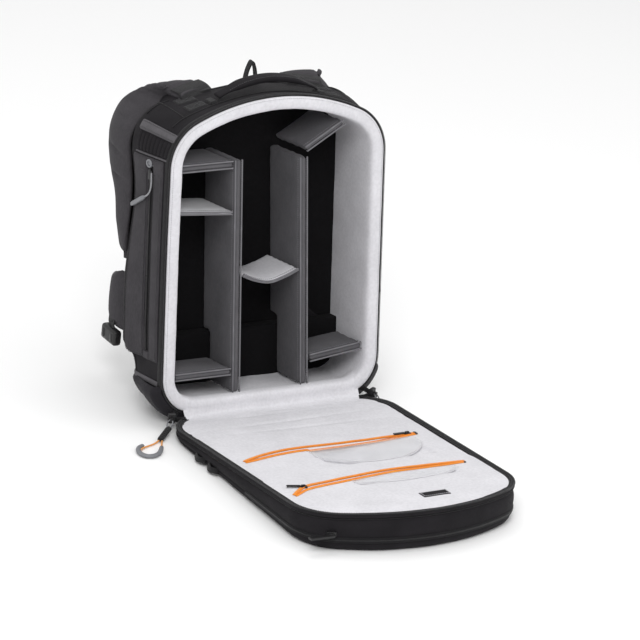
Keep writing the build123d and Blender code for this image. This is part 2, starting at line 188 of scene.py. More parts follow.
class Build:
    """Collects vertices and faces, and turns them into one object."""

    def __init__(self, rows=None, wrap_v=False):
        self.verts = []
        self.faces = []
        if rows is not None:
            self.grid(rows, wrap_v=wrap_v)

    def grid(self, points, wrap_u=False, wrap_v=False):
        """A sheet of quads over rows of points, joined end to end where it wraps."""
        points = np.asarray(points, float)
        rows, cols = points.shape[:2]
        base = len(self.verts)
        self.verts += [tuple(p) for p in points.reshape(-1, 3)]
        for i in range(rows if wrap_u else rows - 1):
            for j in range(cols if wrap_v else cols - 1):
                i2, j2 = (i + 1) % rows, (j + 1) % cols
                corners = ((i, j), (i, j2), (i2, j2), (i2, j))
                self.faces.append(tuple(base + row * cols + col for row, col in corners))

    def cap(self, ring, flip=False):
        base = len(self.verts)
        self.verts += [tuple(p) for p in ring]
        order = list(range(base, base + len(ring)))
        self.faces.append(tuple(order[::-1] if flip else order))

    def tube(self, path, radius, sides=8, closed=False, flat=1.0, up=None):
        """A tube along a path. Its radius, in millimetres, may vary, and flat squeezes it one way."""
        path = np.asarray(path, float)
        radius = np.broadcast_to(np.asarray(radius, float) * MM, (len(path),))
        ahead = headings(path, closed)
        side = np.cross(ahead[0], up if up is not None else (0.31, 0.2, 0.93))
        rings = []
        turn = np.linspace(0, 2 * np.pi, sides, endpoint=False)
        wide, high = np.cos(turn)[:, None], flat * np.sin(turn)[:, None]
        for i, along in enumerate(ahead):
            side = np.cross(along, up) if up is not None else side - along * (side @ along)
            side /= np.linalg.norm(side) + 1e-12
            over = np.cross(side, along)
            rings.append(path[i] + radius[i] * (wide * side + high * over))
        self.grid(rings, wrap_u=closed, wrap_v=True)
        if not closed:
            self.cap(rings[0])
            self.cap(rings[-1], flip=True)

    def brick(self, centre, x, y, z, taper=0.8):
        """A small block with tapered sides; x, y and z are its half-size vectors."""
        centre, x, y, z = (np.asarray(v, float) for v in (centre, x, y, z))
        base = len(self.verts)
        for k, size in ((-1, 1.0), (1, taper)):
            for a, b in ((-1, -1), (1, -1), (1, 1), (-1, 1)):
                self.verts.append(tuple(centre + size * (a * x + b * y) + k * z))
        for f in ((3, 2, 1, 0), (4, 5, 6, 7), (0, 1, 5, 4), (1, 2, 6, 5), (2, 3, 7, 6), (3, 0, 4, 7)):
            self.faces.append(tuple(base + i for i in f))

    def object(self, name):
        mesh = bpy.data.meshes.new(name)
        mesh.from_pydata(self.verts, [], self.faces)
        mesh.update()
        work = bmesh.new()
        work.from_mesh(mesh)
        bmesh.ops.remove_doubles(work, verts=work.verts, dist=1e-6)
        bmesh.ops.recalc_face_normals(work, faces=work.faces)
        work.to_mesh(mesh)
        work.free()
        mesh.shade_smooth()
        return linked(name, mesh)

    def piece(self, name, body, material, slot, *nodes):
        """The finished object, on its body."""
        return finish_piece(self.object(name), body, material, slot, *nodes)


def linked(name, data):
    """A new object in the scene."""
    made = bpy.data.objects.new(name, data)
    scene.collection.objects.link(made)
    return made


def finish_piece(obj, body, material, slot, *nodes):
    """Gives a piece its material, the body it rides on and the nodes it stands for; its slot is not used.
    """
    obj.data.materials.clear()
    obj.data.materials.append(material)
    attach(obj, body)
    if nodes:
        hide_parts(*nodes)
    return obj


def dress(node, material):
    """Gives a CAD part that stays its detailed material."""
    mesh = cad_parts[node].data
    mesh.materials.clear()
    mesh.materials.append(material)
    for polygon in mesh.polygons:
        polygon.material_index = 0


def sewn_between(obj, material):
    """Gives a piece sewn between two bodies its material and fixes its shape where it lies; it rides on
    neither body.
    """
    obj.data.materials.append(material)
    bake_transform(obj)


def thicken(obj, amount, offset=-1.0):
    """Gives a sheet its thickness in millimetres."""
    solid = obj.modifiers.new("thickness", "SOLIDIFY")
    solid.thickness = amount * MM
    solid.offset = offset
    return obj


def rounded_box(name, size, radius, segments=3):
    """A box centred on the origin with rounded edges; sizes are in millimetres."""
    work = bmesh.new()
    bmesh.ops.create_cube(work, size=1.0)
    bmesh.ops.scale(work, vec=[v * MM for v in size], verts=work.verts)
    edges = work.edges[:]
    bmesh.ops.bevel(work, geom=edges, offset=radius * MM, segments=segments, profile=0.5, affect="EDGES")
    mesh = bpy.data.meshes.new(name)
    work.to_mesh(mesh)
    work.free()
    mesh.shade_smooth()
    return linked(name, mesh)


def place(obj, origin, x_axis, z_axis):
    """Moves a mesh so that its X and Z axes point along the two given directions."""
    x = Vector(x_axis).normalized()
    z = Vector(z_axis).normalized()
    y = z.cross(x).normalized()
    z = x.cross(y)
    matrix = Matrix((x, y, z)).transposed().to_4x4()
    matrix.translation = Vector(origin)
    obj.data.transform(matrix)
    return obj


# ---- materials


def linear(code):
    """A colour from its usual six-digit code, as linear numbers."""
    values = [int(code[i : i + 2], 16) / 255 for i in (0, 2, 4)]
    return [v / 12.92 if v <= 0.04045 else ((v + 0.055) / 1.055) ** 2.4 for v in values] + [1.0]


def tint(base, factor, extra=0.0):
    """A lighter or darker version of a colour."""
    return [min(1, v * factor + extra) for v in base[:3]] + [1]


class Shader:
    """A node material being put together."""

    def __init__(self, name):
        self.material = bpy.data.materials.new(name)
        self.material.use_nodes = True
        self.tree = self.material.node_tree
        self.main = self.tree.nodes["Principled BSDF"]
        self.where = self.add("ShaderNodeTexCoord").outputs["Object"]

    def add(self, kind, inputs=(), **settings):
        node = self.tree.nodes.new(kind)
        for key, value in settings.items():
            setattr(node, key, value)
        for key, value in dict(inputs).items():
            self.feed(node, key, value)
        return node

    def feed(self, node, key, value):
        """Sets an input of a node to a value, or links another node's output to it."""
        if isinstance(value, bpy.types.NodeSocket):
            self.tree.links.new(value, node.inputs[key])
        else:
            node.inputs[key].default_value = value

    def finish(self, specular, sheen=0.0, sheen_rough=0.5):
        self.feed(self.main, "Specular IOR Level", specular)
        self.feed(self.main, "Sheen Weight", sheen)
        self.feed(self.main, "Sheen Roughness", sheen_rough)

    def noise(self, scale, detail=3.0, stretch=(1, 1, 1)):
        spot = self.add("ShaderNodeMapping", {"Vector": self.where, "Scale": stretch}).outputs[0]
        inputs = {"Vector": spot, "Scale": scale, "Detail": detail}
        return self.add("ShaderNodeTexNoise", inputs).outputs["Fac"]

    def ramp(self, value, low, high, start, end):
        ranged = self.add("ShaderNodeMapRange", {0: value, 1: low, 2: high, 3: start, 4: end})
        return ranged.outputs[0]

    def maths(self, operation, a, b):
        return self.add("ShaderNodeMath", {0: a, 1: b}, operation=operation).outputs[0]

    def mix(self, factor, a, b):
        mixed = self.add("ShaderNodeMix", {"Factor": factor}, data_type="RGBA")
        self.feed(mixed, 6, a)
        self.feed(mixed, 7, b)
        return mixed.outputs[2]

    def bump(self, height, distance, under=None):
        inputs = {"Height": height, "Distance": distance, "Strength": 1.0}
        if under:
            inputs["Normal"] = under
        return self.add("ShaderNodeBump", inputs).outputs[0]

    def end(self, colour, rough, normal=None):
        self.feed(self.main, "Base Color", colour)
        self.feed(self.main, "Roughness", rough)
        if normal is not None:
            self.feed(self.main, "Normal", normal)
        return self.material


def woven(name, code, thread=0.9, mottle=0.12, relief=0.12, rough=0.8, sheen=0.15, crease=0.0, heather=0.0):
    """Woven cloth: crossing threads of a given pitch in millimetres, uneven colour, painted shade between
    the threads and soft creases.
    """
    s = Shader(name)
    s.finish(0.12, sheen)
    axes = s.add("ShaderNodeSeparateXYZ", {"Vector": s.where}).outputs
    pitch = 2 * math.pi / (thread * MM)
    waves = [s.maths("SINE", s.maths("MULTIPLY", axis, pitch), 0.0) for axis in axes]
    across = s.maths("MULTIPLY", waves[0], waves[2])
    along = s.maths("MULTIPLY", waves[1], waves[2])
    flat = s.maths("MULTIPLY", waves[0], waves[1])
    weave = s.maths("ADD", s.maths("ADD", across, along), flat)
    fuzz = s.noise(900.0, 2.0)
    patches = s.noise(28.0, 4.0)
    fine = s.noise(420.0, 3.0)
    base = linear(code)
    cloudy = s.ramp(patches, 0.3, 0.7, 0.0, 1.0)
    colour = s.mix(cloudy, tint(base, 1 - 2.2 * mottle), tint(base, 1 + 2.2 * mottle))
    if heather:
        fleck = s.ramp(s.noise(600.0, 2.0, (1, 1, 0.25)), 0.42, 0.62, 0.0, heather)
        colour = s.mix(fleck, colour, tint(base, 1.9))
    # Painted shade: the cloth is darkened where the weave dips between its threads
    shade = s.ramp(weave, -1.5, 1.5, 0.0, 0.22)
    colour = s.mix(shade, colour, tint(base, 0.45))
    height = s.maths("ADD", s.ramp(weave, -2, 2, 0, 0.6), s.maths("MULTIPLY", fuzz, 0.5))
    normal = s.bump(height, relief * MM)
    if crease:
        folds = s.maths("ADD", s.noise(14.0, 5.0), s.maths("MULTIPLY", fine, 0.06))
        normal = s.bump(folds, crease * MM, under=normal)
    return s.end(colour, s.ramp(fine, 0.3, 0.7, rough - 0.07, rough + 0.07), normal)


def brushed(name, code, mottle=0.05, relief=0.35, sheen=0.35, crease=1.5):
    """Soft brushed loop lining: short fibres, gentle cloudiness and low folds."""
    s = Shader(name)
    s.finish(0.2, sheen, 0.4)
    fibre = s.noise(1500.0, 3.0)
    clump = s.noise(240.0, 3.0)
    cloud = s.noise(22.0, 4.0)
    base = linear(code)
    mixed = s.maths("ADD", s.maths("MULTIPLY", clump, 0.55), s.maths("MULTIPLY", cloud, 0.45))
    cloudy = s.ramp(mixed, 0.35, 0.65, 0, 1)
    colour = s.mix(cloudy, tint(base, 1 - 2.5 * mottle), tint(base, 1 + 2.5 * mottle))
    pile = s.maths("ADD", s.maths("MULTIPLY", fibre, 0.6), clump)
    normal = s.bump(pile, relief * MM)
    normal = s.bump(s.noise(9.0, 4.0), crease * MM, under=normal)
    return s.end(colour, 0.95, normal)


def ribbed(name, code, pitch=1.1, relief=0.25, rough=0.7, sheen=0.1):
    """Webbing or tape: fine ribs that run across in every direction, painted shade between the ribs, and
    worn high spots.
    """
    s = Shader(name)
    s.finish(0.15, sheen)
    axes = s.add("ShaderNodeSeparateXYZ", {"Vector": s.where}).outputs
    total = s.maths("ADD", s.maths("ADD", axes[0], axes[1]), axes[2])
    other = s.maths("SUBTRACT", s.maths("ADD", axes[0], axes[2]), axes[1])
    rib = s.maths("SINE", s.maths("MULTIPLY", total, 2 * math.pi / (pitch * MM)), 0.0)
    weft = s.maths("SINE", s.maths("MULTIPLY", other, 4 * math.pi / (pitch * MM)), 0.0)
    weave = s.maths("ADD", rib, s.maths("MULTIPLY", weft, 0.4))
    base = linear(code)
    worn = s.ramp(s.noise(60.0, 4.0), 0.55, 0.75, 0.0, 0.35)
    # Painted shade: darker in the valleys between the ribs
    colour = s.mix(s.ramp(weave, -1.2, 1.2, 0, 0.45), base, tint(base, 0.5))
    colour = s.mix(worn, colour, tint(base, 1.8, 0.004))
    normal = s.bump(s.ramp(weave, -1.4, 1.4, 0, 1), relief * MM)
    return s.end(colour, rough, normal)


def moulded(name, code, rough=0.42, grain=0.06, scratch=0.15):
    """Moulded plastic or rubber: a fine spark-eroded grain with lighter rubbed edges."""
    s = Shader(name)
    base = linear(code)
    grainy = s.noise(1800.0, 2.0)
    rubbed = s.ramp(s.noise(130.0, 5.0), 0.56, 0.72, 0.0, scratch)
    colour = s.mix(rubbed, base, tint(base, 2.2, 0.02))
    normal = s.bump(grainy, grain * MM)
    return s.end(colour, s.ramp(s.noise(90.0, 3.0), 0.3, 0.7, rough - 0.08, rough + 0.1), normal)


def clear_sheet(name):
    """Soft clear plastic film with faint waves."""
    s = Shader(name)
    shine = {"Alpha": 0.2, "Specular IOR Level": 0.9, "Coat Weight": 0.6, "Coat Roughness": 0.08}
    for key, value in shine.items():
        s.feed(s.main, key, value)
    cloudy = s.ramp(s.noise(35.0, 3.0), 0.35, 0.65, 0, 1)
    colour = s.mix(cloudy, linear("E4E6E8"), linear("F7F8FA"))
    normal = s.bump(s.noise(24.0, 3.0), 1.2 * MM)
    return s.end(colour, 0.16, normal)


# After name and colour: woven takes thread, mottle, relief, rough, sheen, crease and heather; brushed
# takes mottle, relief and sheen; ribbed takes pitch, relief, rough and sheen; moulded takes rough,
# grain and scratch
SHELL = woven("shell_cloth", "3C3A3D", 1.1, 0.07, 0.14, 0.8, 0.04, 0.9, 0.22)
BLACK = woven("black_cloth", "1D1B1E", 1.3, 0.10, 0.2, 0.72, 0.02, 0.7, 0.0)
BOOT = woven("boot_cloth", "242226", 1.6, 0.10, 0.24, 0.62, 0.02, 0.8, 0.0)
LIGHT = brushed("light_lining_cloth", "D2D1D5", 0.03, 0.35, 0.12)
# Painted shade: a near-black lining for the back of the compartment, standing for the deep shade there
PAINTED_SHADE_LINING = brushed("painted_shade_lining_cloth", "0E0D0F", 0.08, 0.35, 0.02)
DIVIDER_CLOTH = woven("divider_cloth", "59585B", 0.8, 0.06, 0.10, 0.85, 0.06, 0.6, 0.12)
BINDING = ribbed("divider_binding", "7C7B7F", 1.0, 0.2, 0.8, 0.05)
SHELF = woven("pale_shelf_cloth", "BDBDC0", 0.8, 0.05, 0.10, 0.85, 0.25, 0.6, 0.0)
TRIM = woven("grey_trim_cloth", "565457", 0.9, 0.06, 0.12, 0.78, 0.04, 0.4, 0.15)
ZIP = ribbed("black_zip_tape", "19181A", 0.9, 0.15, 0.65, 0.05)
COIL = moulded("black_zip_coil", "232224", 0.35, 0.03)
ORANGE = ribbed("orange_zip_tape", "F9982A", 0.9, 0.15, 0.6, 0.15)
ORANGE_COIL = moulded("orange_zip_coil", "F08A1C", 0.35, 0.03, 0.05)
WEB = ribbed("black_webbing", "1C1B1D", 1.4, 0.35, 0.68, 0.1)
MESH = woven("spacer_mesh", "2B2A2C", 3.2, 0.08, 0.9, 0.85, 0.15, 0.6, 0.0)
PLASTIC = moulded("black_plastic", "161517")
GREY_PLASTIC = moulded("grey_plastic", "77787C", 0.5, 0.08, 0.1)
SILVER_CORD = ribbed("silver_grey_braid", "9C9CA0", 1.2, 0.3, 0.6, 0.3)
ORANGE_CORD = ribbed("orange_braid", "FBA53C", 1.2, 0.3, 0.6, 0.3)
WINDOW = clear_sheet("clear_window")
STITCH = ribbed("dark_thread", "39383B", 0.8, 0.2, 0.6, 0.2)
PALE_TRIM = woven("pale_hem_cloth", "CFCED2", 0.8, 0.04, 0.1, 0.85, 0.25, 0.4, 0.0)
PALE_STITCH = ribbed("pale_thread", "C2C1C5", 0.8, 0.2, 0.6, 0.2)
STIFF = moulded("stiff_sheet", "1B1B1D")


# ---- camera, floor and light


# The camera's azimuth, rise and roll in degrees, the point it looks at and its lens in millimetres,
# and its distance in metres
CAMERA_ANGLES = (-32.056, 21.99, 6.587)
CAMERA_TARGET = (5.646, -150.0, 197.643)
CAMERA_DISTANCE, CAMERA_LENS = 6.99166, 269.6


def look():
    """The camera at the viewing angle of the reference view, with its slight roll."""
    azimuth, rise, roll = (math.radians(v) for v in CAMERA_ANGLES)
    back = Vector((math.sin(azimuth) * math.cos(rise), -math.cos(azimuth) * math.cos(rise), math.sin(rise)))
    target = Vector(CAMERA_TARGET) * MM
    right = (-back).cross(Vector((0, 0, 1))).normalized()
    up = right.cross(-back)
    turned_right = right * math.cos(roll) + up * math.sin(roll)
    turned_up = -right * math.sin(roll) + up * math.cos(roll)
    data = bpy.data.cameras.new("camera")
    data.sensor_width = 36.0
    data.lens = CAMERA_LENS
    data.clip_end = 60.0
    camera = linked("camera", data)
    camera.matrix_world = Matrix((turned_right, turned_up, back)).transposed().to_4x4()
    camera.matrix_world.translation = target + back * CAMERA_DISTANCE
    scene.camera = camera


def area_light(name, spot, aim, size, power):
    """A round soft light."""
    data = bpy.data.lights.new(name, "AREA")
    data.shape = "DISK"
    data.size = size
    data.energy = power
    lamp = linked(name, data)
    lamp.location = spot
    lamp.rotation_euler = (Vector(aim) - Vector(spot)).to_track_quat("-Z", "Y").to_euler()


def studio():
    """A pale floor in a bright room, as in a catalogue picture."""
    scene.view_settings.view_transform = "Standard"
    world = bpy.data.worlds.new("studio")
    world.use_nodes = True
    backdrop = world.node_tree.nodes["Background"].inputs
    backdrop[0].default_value = (1, 1, 1, 1)
    backdrop[1].default_value = 0.78
    scene.world = world
    floor = rounded_box("floor", (14000, 14000, 20), 4)
    floor.data.transform(Matrix.Translation((0, 0, -10.1 * MM)))
    s = Shader("pale_floor")
    tone = s.mix(s.noise(0.6, 2.0), linear("F4F4F4"), linear("FAFAFA"))
    floor.data.materials.append(s.end(tone, 0.75))
    area_light("key", (-1.6, -2.2, 2.6), (0, -0.1, 0.2), 1.6, 44)
    area_light("fill", (2.4, -1.6, 1.4), (0, -0.1, 0.2), 2.0, 12)
    area_light("top", (0.2, 0.4, 2.8), (0, 0, 0.3), 2.2, 19)


# ---- cords


# Where the cords run, in millimetres, from their fixed ends
CORD_ROUTE = (
    (-203.0, -83.0, 3.4), (-213.0, -91.0, 2.4), (-227.0, -96.5, 2.2), (-240.0, -101.0, 2.6),
    (-249.5, -108.5, 3.2), (-253.5, -119.0, 3.4), (-251.0, -129.0, 3.4), (-242.0, -133.0, 3.4),
    (-231.0, -129.5, 3.4), (-222.0, -121.0, 3.0), (-215.0, -110.0, 2.2), (-207.5, -97.0, 2.4),
    (-202.0, -87.0, 3.4),
)
SIDE_CORD_ROUTE = (
    (-190.8, 42.0, 373.0), (-191.4, 38.6, 362.0), (-191.6, 38.0, 350.0), (-191.6, 43.0, 339.5),
    (-191.4, 53.0, 332.0),
)

# How thick the cords are, in millimetres
CORD_THICKNESS = 2.4


def cord(name, route, material, body, node):
    """A cord along one smooth spline through its route."""
    data = bpy.data.curves.new(name, "CURVE")
    data.dimensions = "3D"
    line = data.splines.new("NURBS")
    line.points.add(len(route) - 1)
    for point, (x, y, z) in zip(line.points, route):
        point.co = (x * MM, y * MM, z * MM, 1)
    line.order_u = 3
    line.use_endpoint_u = True
    line.resolution_u = 8
    data.bevel_depth = CORD_THICKNESS / 2 * MM
    data.bevel_resolution = 3
    obj = linked(name, data)
    data.materials.append(material)
    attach(obj, body)
    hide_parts(node)


# ---- the shell


def depth_limit(s):
    """How deep the body is at height s: it steps in at the waist."""
    return WAIST_DEPTH + (BODY_DEPTH - WAIST_DEPTH) * smooth((s - 74) / 22)


def shell_at(t, d, lift=0.0):
    """Points on the outside of the body at share t of the outline and depth d, with soft bulges."""
    t, d = np.broadcast_arrays(np.asarray(t, float), np.asarray(d, float))
    base = edge(t.ravel()).reshape(*t.shape, 2)
    limit = depth_limit(base[..., 1])
    start = limit - BACK_ROUND
    bend = np.clip((d - start) / (BACK_ROUND * math.pi / 2), 0, 1) * math.pi / 2
    inset = BACK_ROUND * (1 - np.cos(bend))
    depth = np.where(d > start, start + BACK_ROUND * np.sin(bend), d)
    side = smooth((base[..., 1] - 60) / 80) * smooth((460 - base[..., 1]) / 60)
    belly = 2.2 * np.sin(np.clip(depth / limit, 0, 1) * math.pi) * side
    far = (np.abs(base[..., 0]) - CORNER_SPOT[0]) ** 2 + (base[..., 1] - CORNER_SPOT[1]) ** 2
    belly = belly + CORNER_SWELL * np.exp(-far / CORNER_SPREAD**2) * smooth(depth / 105)
    hip = smooth((325 - base[..., 1]) / 150) * smooth((base[..., 1] - 52) / 45) * smooth(-base[..., 0] / 60)
    belly = belly + HIP_SWELL * hip * smooth((depth - 58) / 46)
    flat = edge(t.ravel(), (inset - lift * np.cos(bend) - belly).ravel()).reshape(*t.shape, 2)
    return body_at(flat[..., 0], flat[..., 1], depth + lift * np.sin(bend))


def build_shell():
    """The body's skin, closed at the back and turned in at the opening."""
    t = np.linspace(0, 1, 321)[:-1]
    rows = [shell_at(t, d) for d in np.r_[3, 3.5, np.linspace(8, 88, 11)]]
    s = edge(t)[:, 1]
    start = depth_limit(s) - BACK_ROUND
    for share in np.linspace(0.0, 1.0, 9):
        rows.append(shell_at(t, start + share * BACK_ROUND * math.pi / 2))
    rows = np.array(rows)
    rows = np.concatenate([edge_at(body_at, t, 8.0, 3.0)[None], rows])
    grain = ripple(rows, 0.06) * 0.9 + ripple(rows, 0.02, 5) * 0.25
    centre = body_at(0, LENGTH / 2, 60)
    out = rows - centre
    out /= np.linalg.norm(out, axis=-1)[..., None]
    weight = np.clip(np.arange(len(rows)) / 4 - 0.5, 0, 1)[:, None, None]
    rows = rows + out * grain[..., None] * MM * weight
    b = Build(rows, wrap_v=True)
    last = rows[-1]
    middle = last.mean(0)
    shrink = [last + (middle - last) * k for k in np.linspace(0, 0.97, 7)]
    b.grid(shrink, wrap_v=True)
    b.cap(shrink[-1])
    b.piece("shell_skin", "bag_body", BLACK, "shell_fabric", "outer_shell")


def patch(build, t0, t1, d0, d1, lift, nu=24, nv=14, puff=0.0, sink=0.6, seed=0.0):
    """A sewn piece of nu by nv points on the shell: lifted, turned in at its edges and puffed up."""
    u = np.linspace(0, 1, nu)
    v = np.linspace(0, 1, nv)
    eu = np.minimum(u, 1 - u) * abs(t1 - t0) * EDGE_LENGTH
    ev = np.minimum(v, 1 - v) * abs(d1 - d0)
    border = np.minimum(eu[:, None], ev[None, :])
    rise = -sink + (lift + sink) * np.clip(border / 1.6, 0, 1) ** 0.5
    rise += puff * smooth(np.minimum(border / 14, 1))
    t = t0 + (t1 - t0) * u[:, None]
    d = d0 + (d1 - d0) * v
    if seed:
        rise = rise + 0.5 * puff * ripple(shell_at(t, d), 0.035, seed) * (border > 4)
    build.grid(shell_at(t, d, rise))


# ---- strips, teeth and stitches


def spline(points, count):
    """A smooth curve through a few points."""
    p = np.asarray(points, float)
    p = np.vstack([2 * p[0] - p[1], p, 2 * p[-1] - p[-2]])
    spans = len(p) - 3
    out = []
    for share in np.linspace(0, spans, count):
        i = min(int(share), spans - 1)
        t = share - i
        a, b, c, d = p[i : i + 4]
        square = 2 * a - 5 * b + 4 * c - d
        cubic = 3 * b - a - 3 * c + d
        out.append(0.5 * (2 * b + (c - a) * t + square * t**2 + cubic * t**3))
    return np.array(out)


def ribbon(build, path, normal, width, thick, crown=0.0):
    """A flat strip along a path, its face along normal; width and thick are in millimetres."""
    path = np.asarray(path, float)
    normal = np.broadcast_to(np.asarray(normal, float), path.shape)
    width, thick = (np.broadcast_to(np.asarray(v, float) * MM, (len(path),)) for v in (width, thick))
    ahead = headings(path)
    side = np.cross(ahead, normal)
    side /= np.linalg.norm(side, axis=1)[:, None]
    face = np.cross(side, ahead)
    u = np.r_[-1.0, -0.985, -0.94, np.linspace(-0.85, 0.85, 11), 0.94, 0.985, 1.0]
    shape = np.sqrt(np.clip(1 - np.abs(u) ** 10, 0, 1))
    a = np.r_[u, u[-2:0:-1]][None, :, None]
    b = np.r_[shape + crown * (1 - u**2), -shape[-2:0:-1]][None, :, None]
    wide, high = (side * width[:, None])[:, None], (face * thick[:, None])[:, None]
    rings = path[:, None] + wide / 2 * a + high / 2 * b
    build.grid(rings, wrap_v=True)
    build.cap(rings[0])
    build.cap(rings[-1], flip=True)


def teeth(build, path, normal, pitch, reach, height, shift=0.0):
    """A row of zip teeth along a path; all sizes are in millimetres, and reach is across the path."""
    path = np.asarray(path, float)
    normal = np.broadcast_to(np.asarray(normal, float), path.shape)
    pitch, reach, height, shift = (v * MM for v in (pitch, reach, height, shift))
    along = lengths(path)
    for at in np.arange(pitch / 2 + shift, along[-1], pitch):
        here = point_at(at, along, path)
        run = point_at(min(at + pitch, along[-1]), along, path) - here
        if np.linalg.norm(run) < 1e-9:
            continue
        run /= np.linalg.norm(run)
        side = np.cross(run, point_at(at, along, normal))
        side /= np.linalg.norm(side)
        build.brick(here, run * pitch * 0.31, side * reach / 2, np.cross(side, run) * height / 2, 0.7)


STITCH_STEP, STITCH_LENGTH, STITCH_RADIUS = 3.4 * MM, 2.3 * MM, 0.42 * MM


def dashes(build, line, lift):
    """A row of stitches along a line of points, standing a little out of the cloth along lift."""
    line = np.asarray(line, float)
    lift = np.asarray(lift, float)
    along = lengths(line)
    for k in range(int(along[-1] / STITCH_STEP)):
        at = (k + 0.5) * STITCH_STEP
        start, end = (point_at(at + half, along, line) for half in (-STITCH_LENGTH / 2, STITCH_LENGTH / 2))
        middle, run = (start + end) / 2, (end - start) / 2
        size = np.linalg.norm(run)
        if size < 1e-7:
            continue
        side = np.cross(run / size, lift)
        side /= np.linalg.norm(side) + 1e-9
        over = np.cross(side, run / size) * STITCH_RADIUS
        build.brick(middle + over * 0.3, run, side * STITCH_RADIUS, over, 0.6)


def seam(name, body, material, slot, *lines):
    """Rows of stitches; each line is (points, outward direction)."""
    b = Build()
    for points, out in lines:
        dashes(b, points, out)
    b.piece(name, body, material, slot)


BODY_OUT = np.array([0, -math.cos(LEAN), math.sin(LEAN)])
BODY_UP = np.array([0, math.sin(LEAN), math.cos(LEAN)])
PANEL_UP = np.array([0, math.sin(RISE), math.cos(RISE)])


# ---- the body's outside


def build_side_panels():
    """The panels on both sides; the left one is cut round its zip."""
    foot, head = left_t(78), left_t(382)
    b = Build()
    for t0, t1, d0, d1 in (
        (foot, head, 20, 43),
        (foot, head, 59, 98),
        (foot, left_t(91), 42.6, 59.4),
        (left_t(372), head, 42.6, 59.4),
    ):
        patch(b, t0, t1, d0, d1, 3.0, 70, 14, 0.5, 0.8, 3.0)
    patch(b, 1 - head, 1 - foot, 20, 98, 3.0, 70, 26, 0.9, 0.8, 8.0)
    b.piece("side_panel_cloth", "bag_body", SHELL, "shell_fabric", "side_panels")
    rows = []
    for d in (22.5, 40.5, 61.5, 95.5):
        line = shell_at(np.linspace(left_t(82), left_t(360), 90), d, 3.2)
        rows.append((line, (-1, 0, 0)))
    for s in (81.0, 361.0):
        for d0, d1 in ((22.5, 40.5), (61.5, 95.5)):
            line = shell_at(left_t(s), np.linspace(d0, d1, 20), 3.2)
            rows.append((line, (-1, 0, 0)))
    for d in (22.5, 95.5):
        line = shell_at(np.linspace(1 - left_t(82), 1 - left_t(360), 90), d, 3.2)
        rows.append((line, (1, 0, 0)))
    seam("side_panel_stitches", "bag_body", STITCH, "shell_fabric", *rows)


def build_side_zip():
    """The left side's zip, with the grey ring that stops it."""
    b = Build()
    patch(b, left_t(93), left_t(352), 43.6, 58.4, 1.5, 60, 10)
    b.piece("side_zip_cloth", "bag_body", ZIP, "zip_black", "side_zip_tape")
    b = Build()
    t = np.linspace(left_t(93), left_t(366), 160)
    for d, shift in ((50.2, 0.0), (51.8, 0.8)):
        line = shell_at(t, d, 2.6)
        teeth(b, line, (-1, 0, 0), 1.6, 2.6, 1.7, shift=shift)
    b.piece("side_zip_coil", "bag_body", COIL, "zip_black")
    b = Build()
    turn = np.linspace(0, 2 * np.pi, 40, endpoint=False)
    heights = np.array([left_t(374 + 4.6 * math.sin(a)) for a in turn])
    ring = shell_at(heights, 51 + 5.6 * np.cos(turn), 3.6)
    b.tube(ring, 1.5, 8, closed=True, up=(-1, 0, 0))
    patch(b, left_t(370), left_t(378.5), 46, 56, 3.4, 10, 10)
    b.piece("side_zip_stop", "bag_body", GREY_PLASTIC, "grey_plastic", "side_zip_garage")


def build_side_trim():
    """The row of elastic loops high on the left side, with its trim."""
    b = Build()
    for k in range(9):
        d0 = 13.0 + 8.6 * k
        patch(b, left_t(387), left_t(409), d0, d0 + 8.4, 1.9, 12, 10, 0.3, sink=0.1)
    b.piece("side_elastic", "bag_body", BLACK, "shell_fabric", "side_attachment_patch")
    b = Build()
    patch(b, left_t(410), left_t(421), 9, 94, 2.8, 10, 50, 0.6)
    patch(b, left_t(383), left_t(386), 12, 92, 2.4, 6, 50, 0.3)
    b.piece("side_trim_strip", "bag_body", TRIM, "shell_fabric")
    rows = []
    for s in (412.0, 419.0):
        line = shell_at(left_t(s), np.linspace(11, 92, 50), 3.2)
        rows.append((line, BODY_UP - np.array([1.5, 0, 0])))
    seam("side_trim_stitches", "bag_body", STITCH, "shell_fabric", *rows)


def crown_t(x):
    """The share of the outline at which its top half passes x."""
    top = (EDGE[:, 1] > 380) & (EDGE_T > 0.2) & (EDGE_T < 0.8)
    return float(np.interp(x, EDGE[top, 0], EDGE_T[top]))


def build_top():
    """Four webbing patches on the top, sewn down with a box and a cross each, and four anchors."""
    b = Build()
    rows = []
    for x0 in (-128.0, 98.0):
        for d0, d1 in ((40, 62), (70, 92)):
            t0, t1 = crown_t(x0), crown_t(x0 + 30)
            patch(b, t0, t1, d0, d1, 2.0, 22, 14, sink=0.3)
            ta, tb = t0 + 0.12 * (t1 - t0), t1 - 0.12 * (t1 - t0)
            da, db = d0 + 0.14 * (d1 - d0), d1 - 0.14 * (d1 - d0)
            box = [(ta, da), (tb, da), (tb, db), (ta, db)]
            for i, j in ((0, 1), (1, 2), (2, 3), (3, 0), (0, 2), (1, 3)):
                shares, depths = (np.linspace(box[i][k], box[j][k], 14) for k in (0, 1))
                rows.append((shell_at(shares, depths, 2.3), BODY_UP))
    b.piece("top_webbing_patches", "bag_body", WEB, "webbing", "top_webbing")
    seam("top_webbing_stitches", "bag_body", STITCH, "webbing", *rows)
    b = Build()
    for x0 in (-96.0, 84.0):
        patch(b, crown_t(x0), crown_t(x0 + 12), 36.5, 57.5, 4.2, 14, 14, 0.4)
    for x0 in (-120.0, 64.0):
        patch(b, crown_t(x0), crown_t(x0 + 56), 92, 102.5, 4.0, 30, 10, 0.5)
    b.piece("top_anchor_cloth", "bag_body", WEB, "webbing", "top_anchors")


